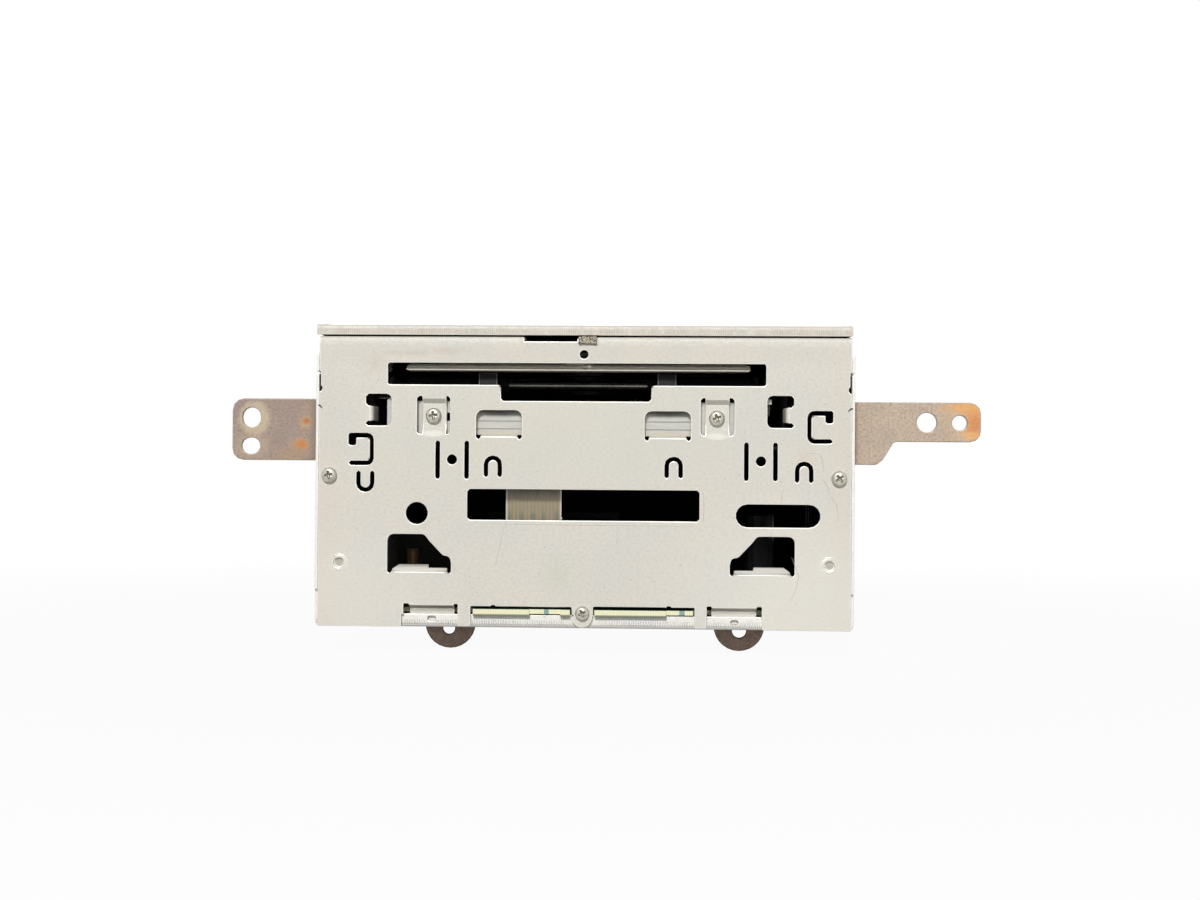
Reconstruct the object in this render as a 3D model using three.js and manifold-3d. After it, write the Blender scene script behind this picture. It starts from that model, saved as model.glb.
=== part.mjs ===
// Double-height car radio chassis with a slot-loading disc mechanism, fascia removed.
// Millimetres. X to the right, Y to the rear, Z up. Until the last lines X = 0 is the middle of the
// chassis' front plate, Y = 0 the front face of that plate and Z = 0 the underside of the chassis.
import * as THREE from "three";
import { mergeVertices } from "three/addons/utils/BufferGeometryUtils.js";
import Module from "manifold-3d";

const wasm = await Module();
wasm.setup();
const { Manifold, Mesh } = wasm;

// Chassis
const middleX = 0.25;
const halfWidth = 89.25;
const height = 100.4;
const depth = 160;
const sheet = 1;
const gap = 0.3;
const outLeft = middleX - halfWidth;
const outRight = middleX + halfWidth;
const inLeft = outLeft + sheet;
const inRight = outRight - sheet;
const plateLeft = inLeft + 0.2;
const plateRight = inRight - 0.2;
const wallTop = 90.6;
const lipY = sheet + gap;
const lipTop = 4.4;
const hookY = lipY + sheet + gap;

// Mounting straps
const strapSheet = 1.6;
const bracketY = 12;
const earY = 22;
const rearEarY = 136;
const earRadius = 8.65;
const earCentreZ = -0.4;

// Main board
const boardBottom = lipTop + gap;
const boardTop = boardBottom + 1.6;
const boardFront = 5;
const tongueReach = -2.5;

// Disc mechanism
const discX = -2.45;
const spindleY = 84;
const frameY = 2.8;
const frameLeft = -73;
const frameRight = 68;
const frameFloor = 60;
const frameTop = 90.7;
const frameRear = 153;
const deckBottom = 68;
const tableTop = 82;
const rollerY = 15;
const rollerZ = 81;
const rollerArmPivot = [60, 77];
const rollerPin = [35, 79];
const rollerDrop = 4.43;
const clampPivot = [146, 88];
const clampPin = [110, 86.5];
const clampDrop = 2.2;
const sliderTravel = 8;
const leverPivot = [30, 73.4];
const railZ = 75;
const railOffset = 18;
const gearModule = 0.6;
const driveGearZ = rollerZ + 8.6;
const loadingPinionY = rollerY + 7.4;
const sledPinionX = discX + railOffset + 8;

// Points of a closed outline through corners [u, v, radius]; a corner with a radius becomes an arc.
function rounded(corners) {
  const points = [];
  corners.forEach(([u, v, radius = 0], i) => {
    const corner = new THREE.Vector2(u, v);
    if (radius === 0) {
      points.push(corner);
      return;
    }
    const last = corners[(i + corners.length - 1) % corners.length];
    const next = corners[(i + 1) % corners.length];
    const back = new THREE.Vector2(last[0] - u, last[1] - v).normalize();
    const ahead = new THREE.Vector2(next[0] - u, next[1] - v).normalize();
    const half = Math.acos(back.dot(ahead)) / 2;
    const toCentre = back.clone().add(ahead).setLength(radius / Math.sin(half));
    const centre = corner.clone().add(toCentre);
    const start = corner.clone().addScaledVector(back, radius / Math.tan(half));
    const turn = (Math.PI - 2 * half) * (back.cross(ahead) > 0 ? -1 : 1);
    const stepAngle = radius > 5 ? 0.25 : radius > 0.9 ? 0.6 : 1.6;
    const steps = Math.max(1, Math.ceil(Math.abs(turn) / stepAngle));
    for (let k = 0; k <= steps; k += 1) {
      points.push(start.clone().rotateAround(centre, (turn * k) / steps));
    }
  });
  return points;
}

function circle(u, v, radius, steps = 20) {
  return Array.from({ length: steps }, (_, k) => {
    const angle = ((k + 0.5) / steps) * Math.PI * 2;
    return new THREE.Vector2(u + radius * Math.cos(angle), v + radius * Math.sin(angle));
  });
}

// A ring of even width along a straight line from a to b: the outline of a slot with round ends.
function slotted(a, b, radius, steps = 8) {
  const heading = Math.atan2(b[1] - a[1], b[0] - a[0]);
  const points = [];
  [[b, heading - Math.PI / 2], [a, heading + Math.PI / 2]].forEach(([end, start]) => {
    for (let k = 0; k <= steps; k += 1) {
      const angle = start + (Math.PI * k) / steps;
      points.push(new THREE.Vector2(end[0] + radius * Math.cos(angle), end[1] + radius * Math.sin(angle)));
    }
  });
  return points;
}

function rectangle(u0, u1, v0, v1) {
  return rounded([[u0, v0], [u1, v0], [u1, v1], [u0, v1]]);
}

// The outline is in (y, z) for a prism along x, (x, z) along y and (x, y) along z.
function prism(axis, from, to, points, holes = []) {
  const shape = new THREE.Shape(points);
  shape.holes = holes.map((hole) => new THREE.Path(hole));
  const geometry = new THREE.ExtrudeGeometry(shape, { depth: to - from, bevelEnabled: false });
  const [u, v, w] = {
    x: [[0, 1, 0], [0, 0, 1], [1, 0, 0]],
    y: [[1, 0, 0], [0, 0, 1], [0, -1, 0]],
    z: [[1, 0, 0], [0, 1, 0], [0, 0, 1]],
  }[axis].map((direction) => new THREE.Vector3(...direction));
  geometry.applyMatrix4(new THREE.Matrix4().makeBasis(u, v, w));
  const start = { x: [from, 0, 0], y: [0, to, 0], z: [0, 0, from] }[axis];
  return geometry.translate(...start);
}

function box(x0, x1, y0, y1, z0, z1) {
  const geometry = new THREE.BoxGeometry(x1 - x0, y1 - y0, z1 - z0);
  return geometry.translate((x0 + x1) / 2, (y0 + y1) / 2, (z0 + z1) / 2);
}

function rod(axis, u, v, radius, from, to, steps = 20) {
  return prism(axis, from, to, circle(u, v, radius, steps));
}

// A turned body; its profile is [radius, distance along the axis] in the order of growing distance.
function turned(axis, [x, y, z], profile, steps = 24) {
  const geometry = new THREE.LatheGeometry(profile.map((point) => new THREE.Vector2(...point)), steps);
  if (axis === "x") geometry.rotateZ(-Math.PI / 2);
  if (axis === "z") geometry.rotateX(Math.PI / 2);
  return geometry.translate(x, y, z);
}

function toSolid(geometry) {
  if (geometry instanceof Manifold) return geometry;
  const bare = new THREE.BufferGeometry();
  bare.setAttribute("position", geometry.getAttribute("position").clone());
  if (geometry.index) bare.setIndex(geometry.index.clone());
  const welded = mergeVertices(bare, 1e-4);
  const corners = welded.index.array;
  const kept = [];
  for (let k = 0; k < corners.length; k += 3) {
    const [a, b, c] = [corners[k], corners[k + 1], corners[k + 2]];
    if (a !== b && b !== c && c !== a) kept.push(a, b, c);
  }
  const vertProperties = Float32Array.from(welded.attributes.position.array);
  return new Manifold(new Mesh({ numProp: 3, vertProperties, triVerts: Uint32Array.from(kept) }));
}

function join(...pieces) {
  return Manifold.union(pieces.map(toSolid));
}

function cut(body, ...tools) {
  return toSolid(body).subtract(join(...tools));
}

function common(a, b) {
  return toSolid(a).intersect(toSolid(b));
}

function toGeometry(piece) {
  const { vertProperties, triVerts, numProp } = toSolid(piece).getMesh();
  const positions = new Float32Array((vertProperties.length / numProp) * 3);
  for (let k = 0; k < positions.length; k += 1) {
    positions[k] = vertProperties[Math.floor(k / 3) * numProp + (k % 3)];
  }
  const geometry = new THREE.BufferGeometry();
  geometry.setAttribute("position", new THREE.BufferAttribute(positions, 3));
  geometry.setIndex(new THREE.BufferAttribute(Uint32Array.from(triVerts), 1));
  geometry.computeVertexNormals();
  return geometry;
}

const radio = new THREE.Group();
radio.name = "car_radio";

function add(name, piece, colour, metalness = 0, roughness = 0.6) {
  const material = new THREE.MeshStandardMaterial({ color: colour, metalness, roughness });
  const mesh = new THREE.Mesh(toGeometry(piece), material);
  mesh.name = name;
  radio.add(mesh);
}

const steel = "#dedbd2";
const innerSteel = "#c9c8c2";
const bracketSteel = "#b5a69a";
const darkSteel = "#5b4e46";
const zinc = "#cfcfcb";
const blackPlastic = "#1c1c1e";
const rubber = "#19191a";
const whitePlastic = "#d9d6cc";

// Front plate: every opening is an outline in (x, z)
const discSlot = rounded([
  [-65, 87.7, 0.5], [-65, 80.5, 0.5], [-27.3, 80.5, 1], [-27.3, 75.2, 0.8],
  [22.5, 75.2, 0.8], [22.5, 80.5, 1], [60.3, 80.5, 0.5], [60.3, 87.7, 0.5],
]);

function sideOpening(edge, lobe, lobeTop, out) {
  const at = (u) => edge + out * u;
  return rounded([
    [at(-lobe), 66.8, 0.7], [at(5.6), 66.8, 1.7], [at(5.6), 77.3, 1.7], [at(-lobe), 77.3, 0.9],
    [at(-lobe), lobeTop, 0.9], [at(-1.4), lobeTop], [at(-1.4), 68.3], [at(-lobe), 68.3, 0.7],
  ]);
}

function windowOpening(left, right, bottom, top) {
  return rounded([
    [left, bottom, 0.6], [left + 1.4, bottom, 0.6], [left + 1.4, bottom + 0.9], [right - 1.4, bottom + 0.9],
    [right - 1.4, bottom, 0.6], [right, bottom, 0.6], [right, top, 2.2], [left, top, 2.2],
  ]);
}

// A hooked slot around three sides of a tongue, with a wider end; it opens away from the middle.
function hookedSlot(inner, bottom, top, out) {
  const at = (u) => inner + out * u;
  return rounded([
    [at(8.4), top, 0.5], [at(0), top, 2.2], [at(0), bottom, 2.2], [at(8.2), bottom, 0.6],
    [at(8.2), bottom + 1.4, 0.6], [at(1.25), bottom + 1.4, 1], [at(1.25), top - 1.5, 1], [at(5.9), top - 1.5],
    [at(5.9), top - 4.05, 0.5], [at(8.4), top - 4.05, 0.5],
  ]);
}

// A slot shaped like a U, or like an n when it points down.
function tongueSlot(left, mouth, bend) {
  const inward = Math.sign(mouth - bend);
  return rounded([
    [left, mouth, 0.6], [left, bend, 2.9], [left + 6, bend, 2.9], [left + 6, mouth, 0.6],
    [left + 4.6, mouth, 0.6], [left + 4.6, bend + 1.4 * inward, 1.5], [left + 1.4, bend + 1.4 * inward, 1.5],
    [left + 1.4, mouth, 0.6],
  ]);
}

function lowerOpening(outer, top, out) {
  const at = (u) => outer + out * u;
  return rounded([
    [at(0), top, 2], [at(12.2), top, 1.6], [at(14), top - 2.3, 0.8], [at(18.5), top - 7, 0.8],
    [at(20.7), top - 7.3, 1.5], [at(21.2), top - 9.5, 0.4], [at(21.2), 17.9, 0.6], [at(19.85), 17.9, 0.6],
    [at(19.85), 18.4], [at(1.4), 18.4], [at(1.4), 17.9, 0.6], [at(0), 17.9, 0.6],
  ]);
}

const screwTabs = [
  { left: -53.5, right: -45.45, slotLeft: -55.2, slotRight: -44.2, slotTop: 76.65, x: -49.8, z: 70.2 },
  { left: 40.35, right: 48.4, slotLeft: 38.9, slotRight: 49.9, slotTop: 76.45, x: 44.2, z: 69.85 },
];
const hooks = [
  { left: -57.4, right: -42.4, slotLeft: -59.2, slotRight: -41.15, notchLeft: -59.9, notchRight: -41.1 },
  { left: 42.8, right: 57.7, slotLeft: 41.25, slotRight: 59.3, notchLeft: 41.2, notchRight: 59.5 },
];
const sideScrews = [[-84.3, 50.2], [84.4, 50.2]];
const bosses = [[-80.95, 21.2], [81.35, 21.5]];
const centreScrew = [0.2, 5.2];
const slotXs = [-48.2, -38.55, 53.95, 63.5];
const smallWindows = [[-35.45, -20.35, 62.5, 72.1], [20.45, 35.6, 62.3, 72]];

const plateOpenings = [
  discSlot,
  sideOpening(-69.4, 2.9, 73.4, 1),
  sideOpening(66.4, 3.1, 73.5, -1),
  ...smallWindows.map((window) => windowOpening(...window)),
  hookedSlot(-69.6, 53.6, 64.25, -1),
  hookedSlot(73.95, 61.7, 72.4, 1),
  tongueSlot(-75.3, 51.7, 44.7),
  tongueSlot(-32.8, 49.95, 57),
  tongueSlot(27.05, 49.95, 57),
  tongueSlot(69.95, 48.75, 55.7),
  lowerOpening(-64.7, 30.8, 1),
  lowerOpening(69.95, 30.9, -1),
  rounded([[-38.2, 35.75, 0.8], [38.6, 35.75, 0.8], [38.6, 45.9, 0.8], [-38.2, 45.9, 0.8]]),
  slotted([54.35, 37.75], [74.6, 37.75], 3.75, 7),
  circle(-55, 37.8, 3.65, 18),
  circle(-43.45, 55.65, 1.65, 12),
  circle(58.75, 55.7, 1.65, 12),
  circle(0.2, 90.7, 1.45, 12),
  circle(...centreScrew, 1.75, 10),
  ...slotXs.map((x) => slotted([x, 49.9], [x, 61.2], 0.72, 3)),
  ...sideScrews.map(([x, z]) => circle(x, z, 1.75, 10)),
  ...screwTabs.map(({ slotLeft, slotRight, slotTop }) => rounded([
    [slotLeft, 64.1, 0.7], [slotRight, 64.1, 0.7], [slotRight, slotTop, 0.7], [slotLeft, slotTop, 0.7],
  ])),
  ...hooks.map((hook) => rectangle(hook.slotLeft, hook.slotRight, 3, 7.8)),
  ...hooks.map((hook) => rectangle(hook.notchLeft, hook.notchRight, -1, 4.2)),
  rectangle(-36.85, -3.4, -1, 7.1),
  rectangle(3.8, 37.2, -1, 7.3),
  rectangle(-30, -28.7, 6.5, 7.5),
  rectangle(28.1, 29.4, 6.5, 7.7),
  rectangle(-3.6, 4, -1, 4),
  rectangle(-41.3, -36.5, -1, 0.5),
  rectangle(36.9, 41.5, -1, 0.5),
  rectangle(-89, -87.45, 78.1, 84.7),
  rectangle(87.95, 89, 78.2, 84.8),
  circle(-87.9, 79.2, 1, 10),
  circle(88.5, 79.3, 1.15, 10),
];
const plateProfile = rounded([
  [0, 0.1], [sheet, 0.1], [sheet, 95.6, 0.4], [9, 95.6], [9, 96.6], [0, 96.6, 1.4],
]);

// A tab bent back through a right angle at height z, from the plate below it.
function bentTab(left, right, z, reach) {
  const profile = rounded([
    [0, z - 1.8], [sheet, z - 1.8], [sheet, z - sheet, 0.3], [reach, z - sheet], [reach, z], [0, z, 1.2],
  ]);
  return prism("x", left, right, profile);
}

// A tab bent back through a right angle about an upright line; its plate is on the side away from `out`.
function sideTab(edge, bottom, top, reach, out) {
  const at = (u) => edge + out * u;
  const profile = rounded([
    [at(-1.2), 0], [at(0), 0, 1.1], [at(0.6), reach], [at(-0.3), reach], [at(-0.9), sheet, 0.2], [at(-1.2), sheet],
  ]);
  return prism("z", bottom, top, profile);
}

// A wide tab raised out of a lower opening: it leans back and up, and its free end is stepped and slanted.
function raisedTab(outer, out) {
  const at = (u) => outer + out * u;
  const side = rounded([
    [0, 17.4], [sheet, 17.4], [sheet, 17.7, 0.2], [4.7, 19.7], [4.2, 20.7], [0, 18.5, 0.6],
  ]);
  const plan = rounded([
    [at(1.4), -1], [at(19.85), -1], [at(19.85), 2.3, 0.3], [at(13.6), 2.3], [at(13.2), 5], [at(3.9), 5],
    [at(1.4), 1.6],
  ]);
  return common(prism("x", outer - 25, outer + 25, side), prism("z", 15, 23, plan));
}

const collars = bosses.map(([x, z]) => rod("y", x, z, 2.7, -0.15, 2.2, 14));
const dimples = bosses.map(([x, z]) => rod("y", x, z, 1.75, -1, 0.9, 10));
const tabProfile = rounded([
  [0, 63.6], [0, 64.6], [1.5, 66.4], [1.5, 74.3], [0, 75.8], [0, 77],
  [sheet, 77], [sheet, 76.2], [2.5, 74.7], [2.5, 66], [sheet, 64.2], [sheet, 63.6],
]);
const hookProfile = rounded([
  [0, 8.4], [0, 7.4], [hookY, 6], [hookY, 1.6], [hookY + sheet, 1.6], [hookY + sheet, 6.5],
  [sheet, 7.9], [sheet, 8.4],
]);
const frontPlate = cut(
  join(
    cut(
      prism("x", plateLeft, plateRight, plateProfile),
      ...plateOpenings.map((opening) => prism("y", -1, 3, opening)),
      box(-19.6, -2.1, -1, 10, 95, 97),
      box(-2.2, 4.7, -1, 10, 96.1, 97),
    ),
    rod("y", 0.05, 3.95, 3.5, 0, sheet, 20),
    ...collars,
    ...screwTabs.map((tab) => prism("x", tab.left, tab.right, tabProfile)),
    ...hooks.map((hook) => prism("x", hook.left, hook.right, hookProfile)),
    bentTab(-33.9, -21.8, 63.9, 2.4),
    bentTab(22, 34.1, 63.8, 2.4),
    raisedTab(-64.7, 1),
    raisedTab(69.95, -1),
    sideTab(-69.9, 68.4, 73.3, 7.5, 1),
    sideTab(66.9, 68.4, 73.4, 7.5, -1),
  ),
  ...dimples,
  ...screwTabs.map((tab) => rod("y", tab.x, tab.z, 1.75, 0, 4, 10)),
  rod("y", ...centreScrew, 1.75, -1, 2, 10),
);
add("front_plate", frontPlate, steel, 0.3, 0.5);

// Chassis tray: floor and side walls from one folded sheet, with the front lip
const trayProfile = rounded([
  [outLeft, wallTop], [outLeft, 0, 1.6], [outRight, 0, 1.6], [outRight, wallTop],
  [inRight, wallTop], [inRight, sheet, 0.6], [inLeft, sheet, 0.6], [inLeft, wallTop],
]);
const lipProfile = rounded([
  [lipY, lipTop], [lipY, 0, 1.5], [8, 0], [8, sheet], [lipY + sheet, sheet, 0.4], [lipY + sheet, lipTop],
]);
const boardPosts = [[-70, 14], [72, 14], [-76, 140], [76, 140], [0, 70]];
// Narrow flanges behind the plate's side edges, wider where the side screws go in
const sideFlanges = [[lipTop - 0.5, 77.3, 4], [43, 57, 8], [86, 90, 4]].flatMap(([from, to, reach]) => [
  box(inLeft - 0.5, inLeft + reach, lipY, lipY + sheet, from, to),
  box(inRight - reach, inRight + 0.5, lipY, lipY + sheet, from, to),
]);
const chassisTray = cut(
  join(
    cut(
      prism("y", 0, depth, trayProfile),
      box(-90, 90, -1, lipY, -1, 12.2),
      box(plateLeft, plateRight, -1, 5, -1, 2),
      box(-90, inLeft + 0.5, -1, 6, 83.9, 84.7),
      box(inRight - 0.5, 90, -1, 6, 84, 84.8),
    ),
    prism("x", plateLeft, plateRight, lipProfile),
    box(-3.1, 3.5, lipY, lipY + sheet, 3, 9),
    ...sideFlanges,
    ...boardPosts.map(([x, y]) => rod("z", x, y, 3, 0.5, lipTop, 8)),
  ),
  rod("y", ...centreScrew, 1.7, 1, 3, 10),
  ...sideScrews.map(([x, z]) => rod("y", x, z, 1.7, 1, 3, 10)),
  prism("y", 1, 3, slotted([-50.6, 2.85], [-49.3, 2.85], 0.85, 4)),
  prism("y", 1, 3, slotted([49.8, 2.45], [50.9, 2.45], 0.85, 4)),
  ...[60, 84, 108].flatMap((y) => [
    prism("x", outLeft - 1, outLeft + 2, slotted([y, 30], [y + 14, 30], 1.5, 3)),
    prism("x", outRight - 2, outRight + 1, slotted([y, 30], [y + 14, 30], 1.5, 3)),
  ]),
);
add("chassis_tray", chassisTray, steel, 0.3, 0.5);

// Top cover: skirts inside the side walls, lips at the front and the rear; the front lip is the widest
const coverRear = depth + gap + sheet;
const skirtBottom = 84.5;
const coverProfile = rounded([
  [plateLeft, skirtBottom], [plateLeft, height, 1.4], [plateRight, height, 1.4], [plateRight, skirtBottom],
  [plateRight - sheet, skirtBottom], [plateRight - sheet, height - sheet, 0.4],
  [plateLeft + sheet, height - sheet, 0.4], [plateLeft + sheet, skirtBottom],
]);
const coverLength = rounded([
  [-0.3, 97], [-0.3, height, 1.2], [coverRear, height, 1.2], [coverRear, 94], [coverRear - sheet, 94],
  [coverRear - sheet, height - sheet, 0.3], [0.7, height - sheet, 0.3], [0.7, 97],
]);
const frontLip = common(prism("x", -88.9, 88.8, coverLength), box(-90, 90, -1, 2.5, 96, 101));
const topCover = cut(
  join(
    cut(
      prism("y", 0.5, coverRear, coverProfile),
      box(-90, 90, -1, 9.5, 80, 97),
      box(-90, 90, depth - 9.5, 163, 80, height - sheet),
    ),
    prism("x", plateLeft, plateRight, coverLength),
    frontLip,
  ),
  ...[-54, -18, 18, 54].map((x) => prism("z", 98, 101, slotted([x, 118], [x, 140], 1.4, 3))),
);
add("top_cover", topCover, steel, 0.3, 0.5);

// Rear panel with the socket openings, and what is fixed to it
const rearPanel = cut(
  join(
    box(plateLeft, plateRight, depth - sheet, depth, 1.6, 98.7),
    box(plateLeft, plateLeft + sheet, depth - 9, depth - 0.5, 3, 90),
    box(plateRight - sheet, plateRight, depth - 9, depth - 0.5, 3, 90),
  ),
  box(-45.4, 5.4, depth - 3, depth + 1, 5.8, 32.4),
  rod("y", -66, 22, 6.4, depth - 3, depth + 1, 24),
  box(29.6, 62.4, depth - 3, depth + 1, 7.6, 30.4),
  ...[66, 74, 82].map((z) => prism("y", depth - 3, depth + 1, slotted([-40, z], [-10, z], 1.5, 3))),
);
add("rear_panel", rearPanel, innerSteel, 0.3, 0.5);

const fins = Array.from({ length: 9 }, (_, k) => box(20 + k * 7.5, 22 + k * 7.5, 163, 176, 6, 76));
add("heat_sink", join(box(20, 82, 160.3, 164.3, 6, 76), box(30, 62, 150.8, 161, 8, 30), ...fins), "#a9abad", 0.7, 0.45);

const pinColumns = Array.from({ length: 8 }, (_, k) => -38.5 + k * 5.2);
const harnessPins = pinColumns.flatMap((x) => [14, 23].map((z) => box(x - 0.5, x + 0.5, 149, 157, z - 0.5, z + 0.5)));
const harnessShell = cut(
  join(box(-45, 5, 141, 167, 6.6, 32), box(-48, 8, 157, 158.7, 6.6, 35)),
  box(-42.5, 2.5, 150, 168, 9, 29.5),
  box(-23.5, -16.5, 155, 168, 29, 33),
);
add("harness_socket", join(harnessShell, ...harnessPins), blackPlastic);

const aerialSocket = join(
  cut(rod("y", -66, 22, 6, 149.6, 173, 18), rod("y", -66, 22, 4.3, 156, 174, 14)),
  rod("y", -66, 22, 0.8, 155, 168, 8),
);
add("aerial_socket", aerialSocket, zinc, 0.6, 0.4);

// Mounting brackets: a strap along each side wall, turned out into an ear
function bracket(out, end, earOutline, holes) {
  const inner = middleX + out * (halfWidth + gap);
  const outer = inner + out * strapSheet;
  const plan = rounded([
    [inner, bracketY, 1.8], [out * end, bracketY], [out * end, bracketY + strapSheet],
    [outer, bracketY + strapSheet, 0.5], [outer, 104], [inner, 104],
  ]);
  const strap = prism("z", 50, 80, plan);
  const wall = prism("x", Math.min(inner, outer) - 0.1, Math.max(inner, outer) + 0.1, rounded([
    [0, 54.9], [96, 54.9, 5], [104.5, 60, 4], [104.5, 71, 4], [96, 75.95, 5], [0, 75.95],
  ]));
  const face = prism("y", 0, 15.2, earOutline);
  const shaped = common(strap, join(face, common(wall, box(-140, 140, 13.7, 110, 50, 80))));
  return cut(shaped, ...holes, ...[30, 92].map((y) => rod("x", y, 65.5, 2, -95, 95, 10)));
}
const leftEnd = -120.2;
const rightEnd = 132.8;
const leftEar = rounded([[leftEnd, 55.1, 3.9], [-85, 55.1], [-85, 76.1], [leftEnd, 76.1, 3.9]]);
const leftEarHoles = [
  prism("y", 10, 16, slotted([-113.6, 69.3], [-113.6, 69.9], 3.15, 7)),
  prism("y", 10, 16, slotted([-114.2, 59.95], [-113.4, 59.95], 2.8, 7)),
];
add("left_bracket", bracket(-1, -leftEnd, leftEar, leftEarHoles), bracketSteel, 0.3, 0.55);
const rightEar = rounded([
  [85, 54.9], [98, 54.9, 1.5], [100.2, 56.6, 1], [103.9, 62.7, 1.5], [rightEnd, 62.7, 3.7],
  [rightEnd, 75.95, 3.7], [85, 75.95],
]);
const rightEarHoles = [
  rod("y", 114.8, 69.2, 3.35, 10, 16, 18),
  rod("y", 125.7, 69.1, 2.55, 10, 16, 16),
];
add("right_bracket", bracket(1, rightEnd, rightEar, rightEarHoles), bracketSteel, 0.3, 0.55);

// Bottom straps: one under each side of the floor, turned down into a round ear at both ends
function bottomStrap(x, holeX, holeZ, holeRadius) {
  const top = -gap;
  const length = rounded([
    [earY, top, 1.8], [rearEarY, top, 1.8], [rearEarY, -14], [rearEarY - strapSheet, -14],
    [rearEarY - strapSheet, top - strapSheet, 0.4], [earY + strapSheet, top - strapSheet, 0.4],
    [earY + strapSheet, -14], [earY, -14],
  ]);
  const across = rounded([
    [x - earRadius, 1], [x - earRadius, earCentreZ - earRadius, earRadius - 0.02],
    [x + earRadius, earCentreZ - earRadius, earRadius - 0.02], [x + earRadius, 1],
  ]);
  const strap = common(prism("x", x - 12, x + 12, length), prism("y", earY - 1, rearEarY + 1, across));
  return cut(
    strap,
    rod("y", holeX, holeZ, holeRadius, earY - 1, earY + 3, 16),
    rod("y", holeX, holeZ, holeRadius, rearEarY - 3, rearEarY + 1, 16),
  );
}
add("left_bottom_strap", bottomStrap(-46.3, -46.8, -2.2, 2.1), darkSteel, 0.3, 0.6);
add("right_bottom_strap", bottomStrap(52.8, 52.9, -2.1, 2.45), darkSteel, 0.3, 0.6);

// Pan-head screws with a cross recess, driven from the front
function panScrew(x, seat, z, head) {
  const profile = [
    [0, -1.9], [head * 0.6, -1.8], [head * 0.9, -1.3], [head, -0.5], [head, 0], [1.4, 0], [1.4, 4.2], [0, 4.2],
  ];
  const body = turned("y", [x, seat - gap, z], profile, 10);
  const floor = seat - gap - 0.9;
  const recess = [[1.45, 0.38], [0.38, 1.45]].map(([u, v]) => box(x - u, x + u, floor - 2, floor, z - v, z + v));
  return cut(body, ...recess);
}
add("left_side_screw", panScrew(sideScrews[0][0], 0, sideScrews[0][1], 2.6), zinc, 0.7, 0.35);
add("right_side_screw", panScrew(sideScrews[1][0], 0, sideScrews[1][1], 2.6), zinc, 0.7, 0.35);
add("centre_screw", panScrew(centreScrew[0], 0, centreScrew[1], 2.35), zinc, 0.7, 0.35);
add("left_mechanism_screw", panScrew(screwTabs[0].x, 1.5, screwTabs[0].z, 2.65), zinc, 0.7, 0.35);
add("right_mechanism_screw", panScrew(screwTabs[1].x, 1.5, screwTabs[1].z, 2.6), zinc, 0.7, 0.35);

const padProfile = rounded([
  [9, 96.4], [9, 98.7, 0.3], [1, 98.7, 0.3], [1, 96.7], [-0.5, 96.7, 0.3], [-1.1, 96.1], [-1.1, 94.1, 0.3],
  [-0.3, 94.1], [-0.3, 95.3], [0.1, 96.1], [0.9, 96.4],
]);
add("grounding_pad", prism("x", -1.65, 4.4, padProfile), "#8d877a", 0, 0.9);

// Main board: its front tongues reach through the strip windows of the front plate
const boardPlan = rounded([
  [-84, boardFront], [-36.05, boardFront], [-36.05, tongueReach], [-17.3, tongueReach], [-17.3, 0.6],
  [-7.1, 0.6], [-7.1, tongueReach], [-3.85, tongueReach], [-3.85, boardFront], [4.2, boardFront],
  [4.2, tongueReach], [27.9, tongueReach], [27.9, 0.6], [36.8, 0.6], [36.8, boardFront], [84, boardFront],
  [84, 148, 2], [-84, 148, 2],
]);
// The long parts of the tongues were snapped off a larger panel, and a ragged strip is left below their edge
const snappedEdges = [[-36.05, -17.3], [-7.1, -3.85], [4.2, 27.9]].map(([from, to]) => {
  return box(from, to, tongueReach, tongueReach + 0.7, boardBottom - 0.7, boardBottom + 0.5);
});
add("main_board", join(prism("z", boardBottom, boardTop, boardPlan), ...snappedEdges), "#9aa36a", 0, 0.6);
const partsFloor = boardTop + gap;
add("tuner_can", cut(
  box(-84, -52, 108, 149, partsFloor, 30),
  ...[-78, -72, -66, -60].map((x) => prism("z", 28, 31, slotted([x, 116], [x, 122], 1, 3))),
), innerSteel, 0.5, 0.4);
add("shield_wall", join(
  box(-66.3, -65.5, 6.5, 28, partsFloor, 29),
  box(-66.3, -65.5, 10, 24, partsFloor, 31.5),
), innerSteel, 0.4, 0.5);
add("filter_capacitor", turned("z", [-60.7, 30, partsFloor], [
  [0, 0], [2.1, 0], [2.1, 17.5], [1.8, 18], [0, 18],
], 16), "#5a3a24");
add("reservoir_capacitor", turned("z", [62, 60, partsFloor], [
  [0, 0], [5, 0], [5, 2], [4.7, 2.6], [5, 3.2], [5, 29.8], [4.5, 30.3], [0, 30.3],
], 12), "#2b2f38");
add("choke_coil", cut(
  rod("z", 44, 112, 9, partsFloor, 18, 18),
  rod("z", 44, 112, 3.4, 5, 20, 14),
), "#8a4a25", 0.3, 0.5);
const amplifierPins = Array.from({ length: 10 }, (_, k) => box(33.5 + k * 2.7, 34.3 + k * 2.7, 147, 147.6, partsFloor, 10));
add("power_amplifier", join(box(31, 61, 146, 150.5, 9, 29), ...amplifierPins), "#232325");
add("amplifier_clip", join(
  box(26.5, 65.5, 143.4, 145.7, 17, 22),
  box(26.5, 28.5, 143.4, 158.7, 17, 22),
  box(63.5, 65.5, 143.4, 158.7, 17, 22),
), innerSteel, 0.5, 0.4);
add("ribbon_socket", cut(
  box(-28, -5.4, 5.3, 10, partsFloor, 10.2),
  box(-26.4, -7, 5.9, 7, 7.4, 11),
), whitePlastic);
const ribbonProfile = rounded([
  [6.3, 7.8], [6.6, 7.8], [6.6, 54.9, 1], [12, 54.9], [12, 55.2], [6.3, 55.2, 1.3],
]);
add("ribbon_cable", prism("x", -25.9, -7.3, ribbonProfile), "#a89e8a", 0, 0.6);
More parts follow.
